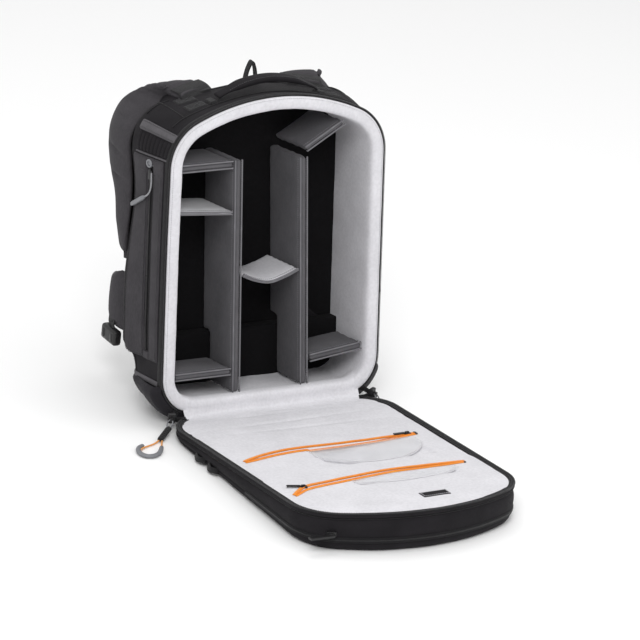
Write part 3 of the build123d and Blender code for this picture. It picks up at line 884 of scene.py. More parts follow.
def build_top_piping():
    """Piping along and across the top."""
    b = Build()
    for d in (33.0, 99.0):
        t = np.linspace(crown_t(-158), crown_t(158), 160)
        b.tube(shell_at(t, d, 0.5), 0.9, 7)
    for x in (-140.0, 140.0):
        b.tube(shell_at(crown_t(x), np.linspace(33, 118, 60), 0.5), 0.9, 7)
    b.piece("top_piping", "bag_body", WEB, "webbing")


def build_handle():
    """The padded grab handle, and the hanging loop behind it."""
    x = np.linspace(-83, 83, 61)
    arch = 474.6 + 22.5 * np.maximum(np.cos(np.pi * x / 166), 0) ** 0.8 + 1.2
    path = np.c_[x, np.full(61, 62.0), arch] * MM
    b = Build()
    padding = smooth((70 - np.abs(x)) / 25)
    thick = 3.4 + 4.2 * padding
    ribbon(b, path, (0, -0.05, 1), 17 + 4.6 * padding, thick, crown=0.25)
    b.piece("handle_grip", "grab_handle", BLACK, "webbing", "grab_handle")
    rows = []
    for offset in (-7.5, 7.5):
        line = path + np.array([0, offset, 0]) * MM + np.array([0, 0, 1]) * (thick * MM / 2 * 1.12)[:, None]
        rows.append((line[6:-6], (0, 0, 1)))
    seam("handle_stitches", "grab_handle", STITCH, "webbing", *rows)
    b = Build()
    hoop = [(-10, 470), (-8.5, 482), (-5.5, 496), (0, 506.5), (5.5, 496), (8.5, 482), (10, 470)]
    route = spline([(x, 112, z) for x, z in hoop], 50) * MM
    middle = np.array([0, 112, 480]) * MM
    outward = route - middle
    outward[:, 1] = 0
    ribbon(b, route, outward, 12, 2.0)
    b.piece("hang_loop_webbing", "bag_body", WEB, "webbing", "hang_loop")


# How far the boot stands out near its front corners
BOOT_SWELL = 13.0


def build_boot():
    """The reinforced base, swollen near its front corners and flat where it stands on the floor."""
    t_side = left_t(BOOT_TOP)
    t = np.linspace(-t_side, t_side, 221)
    outline = edge(t)
    below_top = (t_side - np.abs(t)) * EDGE_LENGTH
    corner = smooth((np.abs(outline[:, 0]) - 108) / 32) * smooth((64 - outline[:, 1]) / 30)
    start = WAIST_DEPTH - BACK_ROUND
    turn = BACK_ROUND * math.pi / 2
    rows = []
    for depth in np.r_[4.2, 4.8, np.linspace(8, start, 18), start + turn * np.linspace(0.12, 0.92, 8)]:
        back = smooth((start + turn * 0.95 - depth) / (turn * 0.6))
        lift = (0.5 + 3.4 * back) * smooth(below_top / 8) + 0.3
        swollen = BOOT_SWELL * smooth((depth - 3) / 14) * (1 - 0.8 * smooth((depth - 30) / 60))
        rows.append(shell_at(t, depth, lift + swollen * corner * back))
    rows = ruffled(rows, 0.05, 7, 0.5, (1, 0.3, 0.3))
    base = smooth((128 - np.abs(rows[..., 0] / MM)) / 14)
    near = smooth((52 - rows[..., 1] / MM) / 14)
    floor_z = 0.35 * MM + 1.3 * MM * (1 - near)
    height = rows[..., 2]
    rows[..., 2] = np.where(height < 30 * MM, height * (1 - base * near) + floor_z * base * near, height)
    rows[..., 2] = np.maximum(rows[..., 2], LOWEST)
    inner = shell_at(t, start + turn * 0.93, -3.0)
    inner[:, 2] = np.maximum(inner[:, 2], 2 * MM)
    front = rows[0].copy()
    front[:, 2] = np.maximum(front[:, 2], body_at(outline[:, 0], outline[:, 1] + 1.2, 4.2)[:, 2])
    boot = Build(np.concatenate([front[None], rows, inner[None]])).object("boot_cloth")
    thicken(boot, 0.9, 1 if boot.data.polygons[0].normal.z > 0 else -1)
    finish_piece(boot, "bag_body", BOOT, "boot_fabric", "boot")
    b = Build()
    for side in (1, -1):
        line = shell_at(side * left_t(BOOT_TOP + 0.6), np.linspace(17, 96, 50), 1.3)
        ribbon(b, line, (-side, 0, 0), 8.0, 1.8, crown=0.3)
    b.piece("boot_piping", "bag_body", TRIM, "boot_fabric")


# ---- the body's opening and inside


# The rim's section, as (inset, depth) pairs
RIM_PROFILE = (
    (1.2, 4.0), (1.0, 1.8), (2.4, 0.2), (5.5, -0.7), (10.0, -1.2), (14.5, -1.0), (18.0, 0.0),
    (20.0, 2.0), (20.9, 5.5),
)


def build_rim():
    """The light padded rim and side walls of the compartment."""
    t = np.linspace(0, 1, 481)[:-1]
    rows = [edge_at(body_at, t, inset, d) for inset, d in RIM_PROFILE]
    for d in np.r_[10, 15, np.linspace(21, 104, 16), 107.6]:
        inset = WALL_INSET - 0.6 * np.sin(d / CAVITY_DEPTH * np.pi)
        rows.append(edge_at(body_at, t, inset, np.minimum(d, depth_limit(edge(t, inset)[:, 1]) - 5.0)))
    rows = np.array(rows)
    inward = body_at(0, LENGTH / 2, 28) - rows
    inward[..., 1] *= 0.2
    inward /= np.linalg.norm(inward, axis=-1)[..., None]
    folds = ripple(rows * np.array([1, 0.6, 1]), 0.03, 2) * 0.45 + ripple(rows, 0.011, 4) * 0.16
    weight = np.clip(np.arange(len(rows)) / 3, 0.35, 1)[:, None]
    b = Build(rows + inward * (folds * weight * 1.6 * MM)[..., None], wrap_v=True)
    b.piece("light_lining", "bag_body", LIGHT, "light_lining", "inner_lining")


def build_shaded_compartment_back():
    """The back of the compartment and the low wall in front of the waist, coloured near black as painted
    shade for the deep shade inside the bag.
    """
    x = np.linspace(-160, 160, 60)
    wall = []
    for s in np.linspace(20, LOW_WALL_TOP - 1.5, 16):
        wall.append(body_at(x, s, LOW_WALL_DEPTH - 0.8 * math.sin((s - 20) / 78 * math.pi)))
    for d in (88.6, 90, 96, 102, CAVITY_DEPTH):
        wall.append(body_at(x, LOW_WALL_TOP + 0.4 * (d > 89), d))
    b = Build(ruffled(wall, 0.04, 9, 0.8, BODY_OUT))
    back = []
    for s in np.linspace(LOW_WALL_TOP + 1, 448, 50):
        half = -np.interp(s, LEFT_SIDE[:, 1], LEFT_SIDE[:, 0]) - 22
        if s > LENGTH - 40:
            crown = (CROWN_RADIUS - WALL_INSET) ** 2 - (s - (LENGTH - CROWN_RADIUS)) ** 2
            half = min(math.sqrt(max(crown, 1)), 158)
        back.append(body_at(np.linspace(-half, half, 50), s, 107.4))
    back = np.array(back)
    back += BODY_OUT * (ripple(back, 0.05, 12) * 0.8 * MM + 0.6 * MM)[..., None]
    b.grid(back)
    # Painted shade: the back and the low wall are coloured near black for the shade deep in the compartment
    b.piece("dark_lining", "bag_body", PAINTED_SHADE_LINING, "dark_lining", "back_lining")
    dress("frame_sheet", STIFF)


def build_rim_stitches():
    """The row of pale stitches round the rim."""
    line = edge_at(body_at, np.linspace(0.11, 0.89, 700), 4.2, -0.5)
    seam("rim_stitches", "bag_body", PALE_STITCH, "light_lining", (line, BODY_OUT))


# The zip tapes' sections, as (inset, depth) pairs, and how far from the middle the tapes stop
SIDE_BAND = (
    (2.0, 3.4), (-0.2, 1.6), (-1.5, 2.6), (-2.3, 5.0),
    (-2.4, 9.0), (-2.0, 13.0), (-1.0, 16.5), (0.6, 17.5),
)
FACE_BAND = (
    (-0.8, 4.8), (-1.6, 2.8), (-0.8, 1.9), (1.5, 1.7),
    (4.0, 2.4), (6.2, 2.5), (7.6, 3.0), (8.0, 4.2),
)
ZIP_END_X = 146


def zip_band(at, normal, body, name, node, profile, chain, seams):
    """Half of the main zip: a tape that follows the outline with teeth on one edge, open at the hinge."""
    t = np.linspace(0, 1, 961)
    flat = edge(t, 4.2)
    clear = (np.abs(flat[:, 0]) > ZIP_END_X) | (flat[:, 1] > 60)
    first = int(np.argmax(clear))
    t = t[first : len(t) - first]
    b = Build([edge_at(at, t, inset, n) for inset, n in profile])
    b.piece(f"{name}_cloth", body, ZIP, "zip_black", node)
    b = Build()
    teeth(b, edge_at(at, t, *chain), normal, 1.7, 2.9, 1.5)
    b.piece(f"{name}_coil", body, COIL, "zip_black")
    rows = [(edge_at(at, t, inset, n), normal) for inset, n in seams]
    if rows:
        seam(f"{name}_stitches", body, STITCH, "zip_black", *rows)


def build_zips():
    """The main zip's two halves, and their loose ends beside the hinge."""
    zip_band(body_at, BODY_OUT, "bag_body", "main_zip_band", "main_zip_tape", SIDE_BAND, (-1.4, 1.6), ())
    zip_band(panel_at, PANEL_UP, "front_panel", "front_zip_band", "front_zip_tape", FACE_BAND, (-0.6, 1.5),
             ((3.0, 2.1), (6.6, 2.6)))
    for side, name in SIDES:
        for body, at, drop in (("bag_body", body_at, 1.6), ("front_panel", panel_at, -1.6)):
            foot = at(side * 148, 7.6, 2.6)
            knee = at(side * 158, 8.4, 2.2)
            tip = np.array((side * 168.5, HINGE_Y - 5.6, 21.5 + drop)) * MM
            line = spline([foot, knee, tip], 30)
            b = Build()
            ribbon(b, line, (0, -0.75, 0.66), 8.0, 1.5)
            front = line + np.array([0, -2.2, 1.0]) * MM
            teeth(b, front, (0, -0.75, 0.66), 1.7, 2.8, 1.4)
            tape = b.object(f"{body}_zip_end_{name}")
            if body == "bag_body":
                finish_piece(tape, body, ZIP, "zip_black")
            else:
                sewn_between(tape, ZIP)


# ---- padded pieces


def made_mesh(obj):
    """Puts the result of an object's modifiers into its own mesh."""
    result = bpy.data.meshes.new_from_object(obj.evaluated_get(bpy.context.evaluated_depsgraph_get()))
    obj.modifiers.clear()
    obj.data = result
    return obj


def coordinates(mesh):
    """A mesh's vertices as rows of numbers."""
    flat = np.zeros(len(mesh.vertices) * 3)
    mesh.vertices.foreach_get("co", flat)
    return flat.reshape(-1, 3)


CLOTH_FRAMES = 20


def swell(obj, voxel, most):
    """Blows a closed pad up by cloth simulation, by most millimetres at most, as foam fills its cover."""
    remesh = obj.modifiers.new("remesh", "REMESH")
    remesh.mode = "VOXEL"
    remesh.voxel_size = voxel * MM
    made_mesh(obj)
    rest = coordinates(obj.data)
    cloth = obj.modifiers.new("cloth", "CLOTH")
    cloth.settings.quality = 4
    cloth.settings.mass = 0.3
    cloth.settings.use_pressure = True
    cloth.settings.uniform_pressure_force = 4.0
    cloth.settings.effector_weights.gravity = 0
    for frame_number in range(1, CLOTH_FRAMES + 1):
        scene.frame_set(frame_number)
    moved = coordinates(obj.evaluated_get(bpy.context.evaluated_depsgraph_get()).data)
    obj.modifiers.clear()
    scene.frame_set(1)
    shift = moved - rest
    size = np.linalg.norm(shift, axis=1)[:, None] + 1e-9
    obj.data.vertices.foreach_set("co", (rest + shift * np.minimum(1, most * MM / size)).ravel())
    obj.data.shade_smooth()
    fine = obj.modifiers.new("fine", "SUBSURF")
    fine.levels = fine.render_levels = 1
    return obj


def divider_sheet(build, line, thickness, back, front=9.0):
    """A foam panel that follows a line across the opening plane and runs back into the bag."""
    line = np.asarray(line, float)
    middle = (front + back) / 2
    path = body_at(line[:, 0], line[:, 1], middle)
    run = headings(path)
    normal = np.cross(run, BODY_OUT)
    ribbon(build, path, normal, back - front, thickness)


# The line of each divider across the opening as (x, s) points, its thickness, and how deep it reaches
FULL_DEPTH = 105.5
LOW_DEPTH = 85.5
DIVIDERS = {
    "divider_left": ([(-55, 23.5), (-62, 377.5)], 13.4, FULL_DEPTH),
    "divider_right": ([(61, 23.5), (48, 372.5)], 13.4, FULL_DEPTH),
    "shelf_left_top": ([(-157.5, 371), (-71.5, 371)], 12.4, FULL_DEPTH),
    "shelf_left_middle": ([(-157.5, 305), (-70.2, 298)], 5.6, FULL_DEPTH),
    "shelf_left_bottom": ([(-157.0, 56), (-64.8, 56)], 11.4, LOW_DEPTH),
    "divider_right_slope": ([(51.5, 384), (114.5, 420)], 9.4, FULL_DEPTH),
    "shelf_right_bottom": ([(70.2, 62.2), (158.5, 73)], 12.2, LOW_DEPTH),
    "shelf_centre": ([(-49, 202.2), (-30, 193.2), (-4, 187.4), (22, 193.2), (45, 202.2)], 4.6, FULL_DEPTH),
}
PALE_DIVIDERS = ("shelf_left_middle", "shelf_centre")


def build_dividers():
    """The foam dividers: a padded cover each, with binding along both front edges."""
    for name, (ends, thickness, back) in DIVIDERS.items():
        line = spline(ends, 24)
        b = Build()
        upright = abs(line[-1, 1] - line[0, 1]) > 200
        if upright:
            low = line[:, 1] < 100
            divider_sheet(b, line, thickness, 86.0)
            divider_sheet(b, line[~low], thickness, back, 70.0)
        else:
            divider_sheet(b, line, thickness, back)
        pale = name in PALE_DIVIDERS
        voxel, puff = (2.2, 0.6) if pale else (3.2, 1.0)
        slot = "shelf_fabric" if pale else "divider_fabric"
        cloth = {"shelf_centre": LIGHT, "shelf_left_middle": SHELF}.get(name, DIVIDER_CLOTH)
        pad = swell(b.object(f"{name}_pad"), voxel, puff)
        finish_piece(pad, name, cloth, slot, name)
        path = body_at(line[:, 0], line[:, 1], 10.2)
        normal = np.cross(headings(path), BODY_OUT)
        normal /= np.linalg.norm(normal, axis=1)[:, None]
        b = Build()
        rows = []
        for side in (-1, 1):
            b.tube(path + normal * side * (thickness / 2 - 1.1) * MM, 1.2, 7)
            inner = body_at(line[:, 0], line[:, 1], 15.5) + normal * side * (thickness / 2 + 0.3) * MM
            rows.append((inner, side * normal[0]))
        b.piece(f"{name}_binding", name, BINDING, slot)
        seam(f"{name}_stitches", name, BINDING, slot, *rows)


# ---- the front panel


def floor_n(s):
    """The depth below the panel's plane at which the ground lies."""
    return (HINGE_Z + s * math.sin(RISE)) / math.cos(RISE)


# How far down the panel's side the pocket zip runs, as a share, and where the cloth below the edge starts
SEAM_SHARE = 0.70
PANEL_WAIST = 10.5

# Sections as (inset, depth) pairs: the skin's turned-in edge, and the tape of the pocket on its side
PANEL_EDGE = (
    (9.6, 9.0), (9.6, 3.3), (2.0, 3.0), (-0.2, 3.4), (-1.3, 4.6),
    (-1.5, 6.2), (-0.9, 7.8), (1.4, 8.8), (2.6, 9.6),
)
POCKET_TAPE = (
    (0.2, -4.4), (-1.2, -3.6), (-1.5, -1.2), (-0.6, 0),
    (-1.5, 1.2), (-1.2, 3.6), (0.4, 4.4),
)


def level_out(points):
    """The level direction from the panel's middle to each point."""
    out = points - panel_at(0, 230, 30)
    out[..., 2] = 0
    return out


def build_panel_shell():
    """The front panel's skin, its piping, and the zip of the outer pocket along its side."""
    t = np.linspace(0, 1, 601)[:-1]
    deep = floor_n(edge(t)[:, 1]) - 0.5
    seam_n = np.maximum(PANEL_WAIST + 1.5, SEAM_SHARE * deep)
    profile = list(PANEL_EDGE)
    for k in np.linspace(0.05, 0.95, 9):
        inset = 2.2 - 3.6 * math.sin(math.pi * k) ** 0.6
        profile.append((inset, PANEL_WAIST + (seam_n - PANEL_WAIST) * k))
    profile.append((2.6, seam_n))
    for k, inset in ((0.12, 1.6), (0.35, 1.2), (0.6, 2.0), (0.8, 4.2), (0.93, 7.2), (1.0, 11.0)):
        profile.append((inset, seam_n + (deep - seam_n) * k))
    rows = np.array([edge_at(panel_at, t, inset, n) for inset, n in profile])
    folds = ripple(rows * np.array([1, 1, 2.6]), 0.05, 21) * 0.9
    folds += ripple(rows * np.array([1, 1, 3]), 0.018, 23) * 0.3
    outward = level_out(rows)
    outward /= np.linalg.norm(outward, axis=-1)[..., None]
    weight = np.clip((np.arange(len(rows)) - 8) / 3, 0, 1)[:, None]
    rows += outward * (folds * weight * MM)[..., None]
    rows[..., 2] = np.maximum(rows[..., 2], LOWEST)
    bottom = rows[-1]
    centre = bottom.mean(0)
    rings = [bottom + (centre - bottom) * k for k in np.linspace(0, 0.97, 8)]
    for k, ring in enumerate(rings):
        ring[:, 2] = np.maximum(0.35 * MM + 0.4 * MM * math.sin(k), LOWEST)
    b = Build(rows, wrap_v=True)
    b.grid(rings, wrap_v=True)
    b.cap(rings[-1])
    b.piece("front_panel_cloth", "front_panel", BLACK, "boot_fabric", "front_panel")
    b = Build()
    b.tube(edge_at(panel_at, t, 0.6, 9.6), 0.9, 6, closed=True, up=(0, 0.087, 0.996))
    b.piece("front_panel_piping", "front_panel", WEB, "boot_fabric")
    t = t[edge(t)[:, 1] > 250]
    n = SEAM_SHARE * (floor_n(edge(t)[:, 1]) - 0.5)
    b = Build([edge_at(panel_at, t, inset, n + offset) for inset, offset in POCKET_TAPE])
    b.piece("front_pocket_tape", "front_panel", ZIP, "zip_black", "front_pocket_zip")
    line = edge_at(panel_at, t, -1.0, n)
    b = Build()
    teeth(b, line, level_out(line), 1.6, 3.0, 1.8)
    b.piece("front_pocket_coil", "front_panel", COIL, "zip_black")


# The two inside pockets, as (x from, x to, s from, s to), and three folds across the lining near
# the hinge, as (s at the middle, slope, depth, width)
POCKETS = ((-46, 128, 188, 262), (-48, 120, 324, 346))
LINING_FOLDS = ((30, 0.03, 1.2, 4.0), (66, -0.02, 1.6, 4.5), (97, 0.025, 1.4, 5.0))


def lining_n(x, s):
    """How far the lining of the front panel lies below the panel's plane."""
    x, s = np.broadcast_arrays(np.asarray(x, float), np.asarray(s, float))
    half = np.interp(s, LEFT_SIDE[:, 1], -LEFT_SIDE[:, 0])
    border = np.minimum(np.minimum(half - np.abs(x), s), LENGTH - s - 0.0016 * x**2)
    n = 3.3 - 2.0 * smooth((border - 8) / 26)
    here = panel_at(x, s, 0)
    n += 0.9 * ripple(here, 0.10, 31) + 0.35 * ripple(here * np.array([1, 1.6, 1]), 0.03, 33)
    pleat = np.exp(-((s - 24) / 26) ** 2)
    n += pleat * 1.3 * ripple(here * np.array([1, 0.25, 1]), 0.028, 35)
    for at, slope, depth, width in LINING_FOLDS:
        off = (s - (at + slope * x)) / width
        n += depth * np.exp(-(off**2)) * (0.6 + 0.4 * np.cos(x / 50))
    for x0, x1, s0, s1 in POCKETS:
        inside = smooth((x - x0 + 3) / 9) * smooth((x1 + 3 - x) / 9)
        inside *= smooth((s - s0 + 2) / 7) * smooth((s1 + 3 - s) / 9)
        n += 3.8 * inside
    return n


def build_panel_lining():
    """The light lining of the open panel, sunk round its edge and under the two pockets."""
    share = 0.35 * np.sin(np.linspace(-math.pi / 2, math.pi / 2, 151)) + 0.65 * np.linspace(-1, 1, 151)
    heights = np.r_[7.7, 8.6, 10.4, 12.4, np.linspace(14, 440, 190), 445, 450, 454, 458, 460.5, 462.2]
    inner = edge(np.linspace(0, 0.5, 3000), LINING_INSET)
    rows = []
    for s in heights:
        x = share * np.interp(s, inner[:, 1], -inner[:, 0])
        rows.append(panel_at(x, s, lining_n(x, s)))
    Build(rows).piece("panel_lining", "front_panel", LIGHT, "light_lining", "front_lining")


# The lines of the two pockets' zips as (x, s) points, and how wide each gapes: the most in
# millimetres, and the power of the curve
ZIP_LINES = {
    "near": [(-158, 203), (-128, 192), (-92, 183.5), (-52, 180), (40, 181.5), (143, 180)],
    "far": [(-160, 352), (-146, 340), (-131, 329), (-98, 320), (8, 306), (80, 308), (145, 313)],
}
MOUTH = {"near": (10.0, 0.55), "far": (9.0, 0.65)}


def on_lining(points, lift, deepest=3.4):
    """World points a little above the lining, where it lies no deeper than deepest."""
    x, s = np.asarray(points, float).T
    return panel_at(x, s, np.minimum(lining_n(x, s), deepest) - lift)


def build_pockets():
    """The two clear pockets of the panel, each with an orange zip that gapes."""
    share = np.linspace(0, 1, 120)
    for (name, points), (x0, x1, _, top) in zip(ZIP_LINES.items(), POCKETS):
        upper = spline(points, 120)
        gape, power = MOUTH[name]
        lower = upper.copy()
        lower[:, 1] += 3.2 + gape * np.sin(np.pi * share) ** power
        b = Build()
        ribbon(b, on_lining(upper, 0.9), PANEL_UP, 6.4, 1.4)
        ribbon(b, on_lining(lower, 0.8), PANEL_UP, 3.6, 1.2)
        b.piece(f"pocket_{name}_tape", "front_panel", ORANGE, "zip_orange", f"pocket_zip_{name}")
        b = Build()
        for path, offset in ((upper, 2.6), (lower, -1.4)):
            line = on_lining(path + np.array([0, offset]), 1.7)
            teeth(b, line, PANEL_UP, 1.5, 1.7, 1.0)
        b.piece(f"pocket_{name}_coil", "front_panel", ORANGE_COIL, "zip_orange")
        x = np.linspace(x0 - 5, x1 + 5, 80)
        near = np.interp(x, lower[:, 0], lower[:, 1]) + 1.2
        lens = np.sin(np.pi * np.linspace(0.04, 0.96, 80)) ** 0.5
        rows = []
        for k in np.linspace(0, 1, 26):
            s = near + (top + 5 - near) * k * lens
            wave = 0.5 * np.sin(math.pi * k) * (1 + np.sin(x / 17 + 5 * k))
            rows.append(panel_at(x, s, 1.0 - wave - 0.25 * ripple(panel_at(x, s, 0), 0.02, 41)))
        film = thicken(Build(rows).object(f"pocket_{name}_film"), 0.35)
        finish_piece(film, "front_panel", WINDOW, "window", f"pocket_window_{name}")
        border = np.c_[x, near + (top + 5 - near) * lens]
        b = Build()
        ribbon(b, on_lining(border, 0.6), PANEL_UP, 2.4, 0.8)
        b.piece(f"pocket_{name}_hem", "front_panel", PALE_TRIM, "light_lining")
        end = upper[-1]
        stop = rounded_box(f"pocket_{name}_stop", (4.0, 8.5, 1.8), 0.6)
        place(stop, panel_at(end[0] - 1, end[1] + 1.5, 0.2), (1, 0, 0), PANEL_UP)
        finish_piece(stop, "front_panel", PLASTIC, "black_plastic")


def build_label():
    """A blank label, sewn round its edge, with one lifted corner."""
    x, s = np.meshgrid(np.linspace(11.5, 55.5, 24), np.linspace(407.5, 424.5, 12))
    curl = 0.9 * smooth((x - 44) / 14) * smooth((420 - s) / 12)
    b = Build(panel_at(x, s, np.minimum(lining_n(x, s), 2.5) - 0.6 - curl))
    label = thicken(b.object("label_patch"), 0.7)
    finish_piece(label, "front_panel", BLACK, "label", "blank_label")
    corners = [(13, 409), (54, 409), (54, 423), (13, 423), (13, 409)]
    rows = []
    for a, c in zip(corners[:-1], corners[1:]):
        rows.append((on_lining(np.linspace(a, c, 16), 1.3, 2.5), PANEL_UP))
    seam("label_stitches", "front_panel", PALE_STITCH, "label", *rows)


def build_loops():
    """The two webbing loops on the panel's left edge, each of two layers."""
    b = Build()
    wall = -181.0
    for y0, y1 in ((-184, -152), (-222, -190)):
        bend = [
            (wall, y0 + 2, 9.5),
            (wall - 3.4, y0 + 7, 8.6),
            (wall - 6.0, (y0 + y1) / 2, 7.4),
            (wall - 3.4, y1 - 7, 8.6),
            (wall, y1 - 2, 9.5),
        ]
        route = spline(bend, 30) * MM
        ribbon(b, route, (-1.0, 0, 0.25), 8.4, 1.8)
        ribbon(b, route + np.array([2.2, 0, -1.8]) * MM, (-1.0, 0, 0.25), 6.4, 1.6)
    b.piece("panel_loop_webbing", "front_panel", WEB, "webbing", "front_panel_loops")


# ---- zip pulls


# The middle of the main pull's grip, in millimetres
GRIP_LINE = (
    (-238, -95, 3.4), (-247.5, -101, 3.4), (-253.5, -112, 3.4), (-254, -124, 3.4),
    (-247.5, -132, 3.4), (-236, -132, 3.4), (-225, -124, 3.4), (-213.5, -108, 3.4),
)

# Each main pull tab as (name, node, start, end, thickness)
PULL_TABS = (
    ("left", "main_pull_tab_left", (-177.5, -63.5, 11.2), (-206, -86.5, 3.4), 4.2),
    ("right", "main_pull_right", (177.5, -63.5, 10.7), (188, -96, 2.9), 3.2),
)
TAB_WIDTH = 9.0
SIDE_GRIP_START, SIDE_GRIP_END = (-191.4, 54.5, 331.3), (-191.0, 92.0, 305.0)
PLAIN_PLASTIC = (
    "main_slider_left", "main_slider_right", "side_zip_slider", "pocket_slider_near",
    "pocket_slider_far", "front_pocket_slider", "tripod_buckle",
)


def build_pull_tab(name, node, start, end, thick):
    """A ridged webbing tab, and the wire ring between it and its slider."""
    body = f"main_pull_{name}"
    start, end = np.array(start) * MM, np.array(end) * MM
    share = np.linspace(0, 1, 26)
    run = (end - start) / np.linalg.norm(end - start)
    over = np.cross(np.cross(run, (0, 0, 1)), run)
    ends = np.clip(np.minimum(share, 1 - share) * 9, 0, 1) ** 0.4
    width = TAB_WIDTH * (0.62 + 0.38 * ends)
    b = Build()
    path = start + (end - start) * share[:, None]
    ribbon(b, path, over, width, thick * (0.6 + 0.4 * ends), crown=0.15)
    across = np.cross(over, run) * TAB_WIDTH * 0.36 * MM
    for at in (0.3, 0.42, 0.54, 0.66, 0.78):
        middle = start + (end - start) * at + over * thick * 0.5 * MM
        b.brick(middle, run * 0.9 * MM, across, over * 0.7 * MM, 0.6)
    b.piece(f"main_pull_tab_{name}_cloth", body, WEB, "webbing", node)
    inwards = 2.8 if name == "left" else -2.8
    top = np.array((start[0] / MM + inwards, -60.6, 21.6)) * MM
    low = start + run * 4.2 * MM + over * 0.4 * MM
    middle, half = (top + low) / 2, (top - low) / 2
    across = np.cross(half, (0, 0, 1))
    across /= np.linalg.norm(across)
    turn = np.linspace(0, 2 * np.pi, 48, endpoint=False)[:, None]
    wire = middle + half * np.cos(turn) + across * np.sin(turn) * 4.0 * MM
    b = Build()
    b.tube(wire, 0.95, 8, closed=True, up=np.cross(half, across))
    b.piece(f"main_pull_ring_{name}", body, GREY_PLASTIC, "grey_plastic")


def build_pulls():
    """The zips' pull tabs, cords and grips; the sliders stay CAD parts."""
    for tab in PULL_TABS:
        build_pull_tab(*tab)
    share = np.linspace(0, 1, 60)
    b = Build()
    radius = 2.9 + 1.1 * np.sin(np.pi * share) ** 0.5
    b.tube(spline(GRIP_LINE, 60) * MM, radius, 14, flat=0.72, up=(0, 0, 1))
    grip = b.piece("main_grip", "main_pull_left", GREY_PLASTIC, "grey_plastic", "main_pull_grip")
    cord("main_cord", CORD_ROUTE, ORANGE_CORD, "main_pull_left", "main_pull_cord")
    start, end = np.array(SIDE_GRIP_START) * MM, np.array(SIDE_GRIP_END) * MM
    share = np.linspace(0, 1, 24)
    line = start + (end - start) * share[:, None]
    ends = np.clip(np.minimum(share, 1 - share) * 7, 0, 1) ** 0.45
    b = Build()
    ribbon(b, line, (-1, 0, 0), 3.2 + 3.6 * ends, 2.6 + 2.2 * ends, crown=0.2)
    side_grip = b.piece("side_grip", "side_zip_slider", GREY_PLASTIC, "grey_plastic", "side_pull_grip")
    cord("side_cord", SIDE_CORD_ROUTE, SILVER_CORD, "side_zip_slider", "side_pull_cord")
    for node in PLAIN_PLASTIC:
        dress(node, PLASTIC)


# ---- fabric over the hinge


# The lining over the hinge as (inset, depth) pairs, first in the body's frame and then in the panel's
HINGE_IN_BODY = (
    (20.5, 27), (22.6, 20), (23.5, 12), (23.0, 5.5),
    (21.4, 0.6), (18.2, -1.6), (13.0, -2.3), (8.0, -2.1),
)
HINGE_IN_PANEL = ((3.5, -1.2), (8.0, 0.6), (13.0, 1.5), (18.5, 2.0), (25.0, 2.2), (31.0, 3.4))
HINGE_SKIRT = ((-44.5, 13.0), (-46.4, 12.0), (-48.2, 11.0), (-50.0, 10.0), (-51.6, 9.4))


def corner_s(x, inset):
    """Height of the outline, moved inwards, at x near a lower corner."""
    out = max(abs(x) - (HALF_BOTTOM - BOTTOM_CORNER), 0)
    return BOTTOM_CORNER - math.sqrt(max((BOTTOM_CORNER - inset) ** 2 - out**2, 0))


def build_hinge():
    """The light lining over the hinge, shaped round the bend from the body to the panel, and the black
    skirt outside it.
    """
    x = np.linspace(-149, 149, 131)
    columns = []
    for across in x:
        column = [body_at(across, corner_s(across, inset), d) for inset, d in HINGE_IN_BODY]
        column += [panel_at(across, corner_s(across, inset), n) for inset, n in HINGE_IN_PANEL]
        columns.append(spline(column, 44))
    rows = np.array(columns).transpose(1, 0, 2)
    inner = (np.sin(np.pi * np.arange(44) / 43) ** 0.6)[:, None]
    tuck = 3.0 * smooth((np.abs(x) - 136) / 13)[None]
    folds = ripple(rows * np.array([1, 0.5, 0.5]), 0.022, 51) * 0.8
    folds += ripple(rows * np.array([0.35, 1, 1]), 0.03, 53) * 1.3
    rows[..., 2] += (folds - tuck) * inner * MM
    rows[..., 1] += (0.4 * folds + 0.7 * tuck) * inner * MM
    sheet = Build(rows).object("hinge_lining")
    sewn_between(sheet, LIGHT)
    x = np.linspace(-117, 117, 60)
    rows = []
    for y, z in HINGE_SKIRT:
        row = np.c_[x, np.full(60, y), np.full(60, z)] * MM
        rows.append(ruffled(row, 0.03, 57, 0.4, (0, 0, 1)))
    skirt = made_mesh(thicken(Build(rows).object("hinge_skirt"), 1.4))
    skirt.data.shade_smooth()
    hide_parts("hinge_strip")
    sewn_between(skirt, BLACK)


# ---- the harness


# A shoulder strap's route from its root down, on the right side, and its ribs and creases as shares of
# that route; then the tape over its root
STRAP_ROUTE = (
    (91, 113, 461), (105, 150, 460.0), (128, 187, 428), (140, 196, 386), (143, 179, 338),
    (142, 152, 298), (140, 147, 250), (138, 144, 198),
)
STRAP_POINTS = 110
STRAP_RIBS = (0.10, 0.135, 0.17, 0.205)
STRAP_CREASES = (0.27, 0.33, 0.47, 0.58)
STRAP_ROOT = ((86, 92, 454.5), (89, 103, 460.5), (93, 118, 468.2), (98, 133, 469.6))


def bumps(share, places, width):
    """Narrow rises of height 1, one at each place along a share of a length."""
    return sum(np.exp(-(((share - at) / width) ** 2)) for at in places)


def facing_away(normal, points, middle):
    """The normals, each turned to point away from a middle."""
    return normal * np.sign((normal * (points - np.array(middle))).sum(1))[:, None]


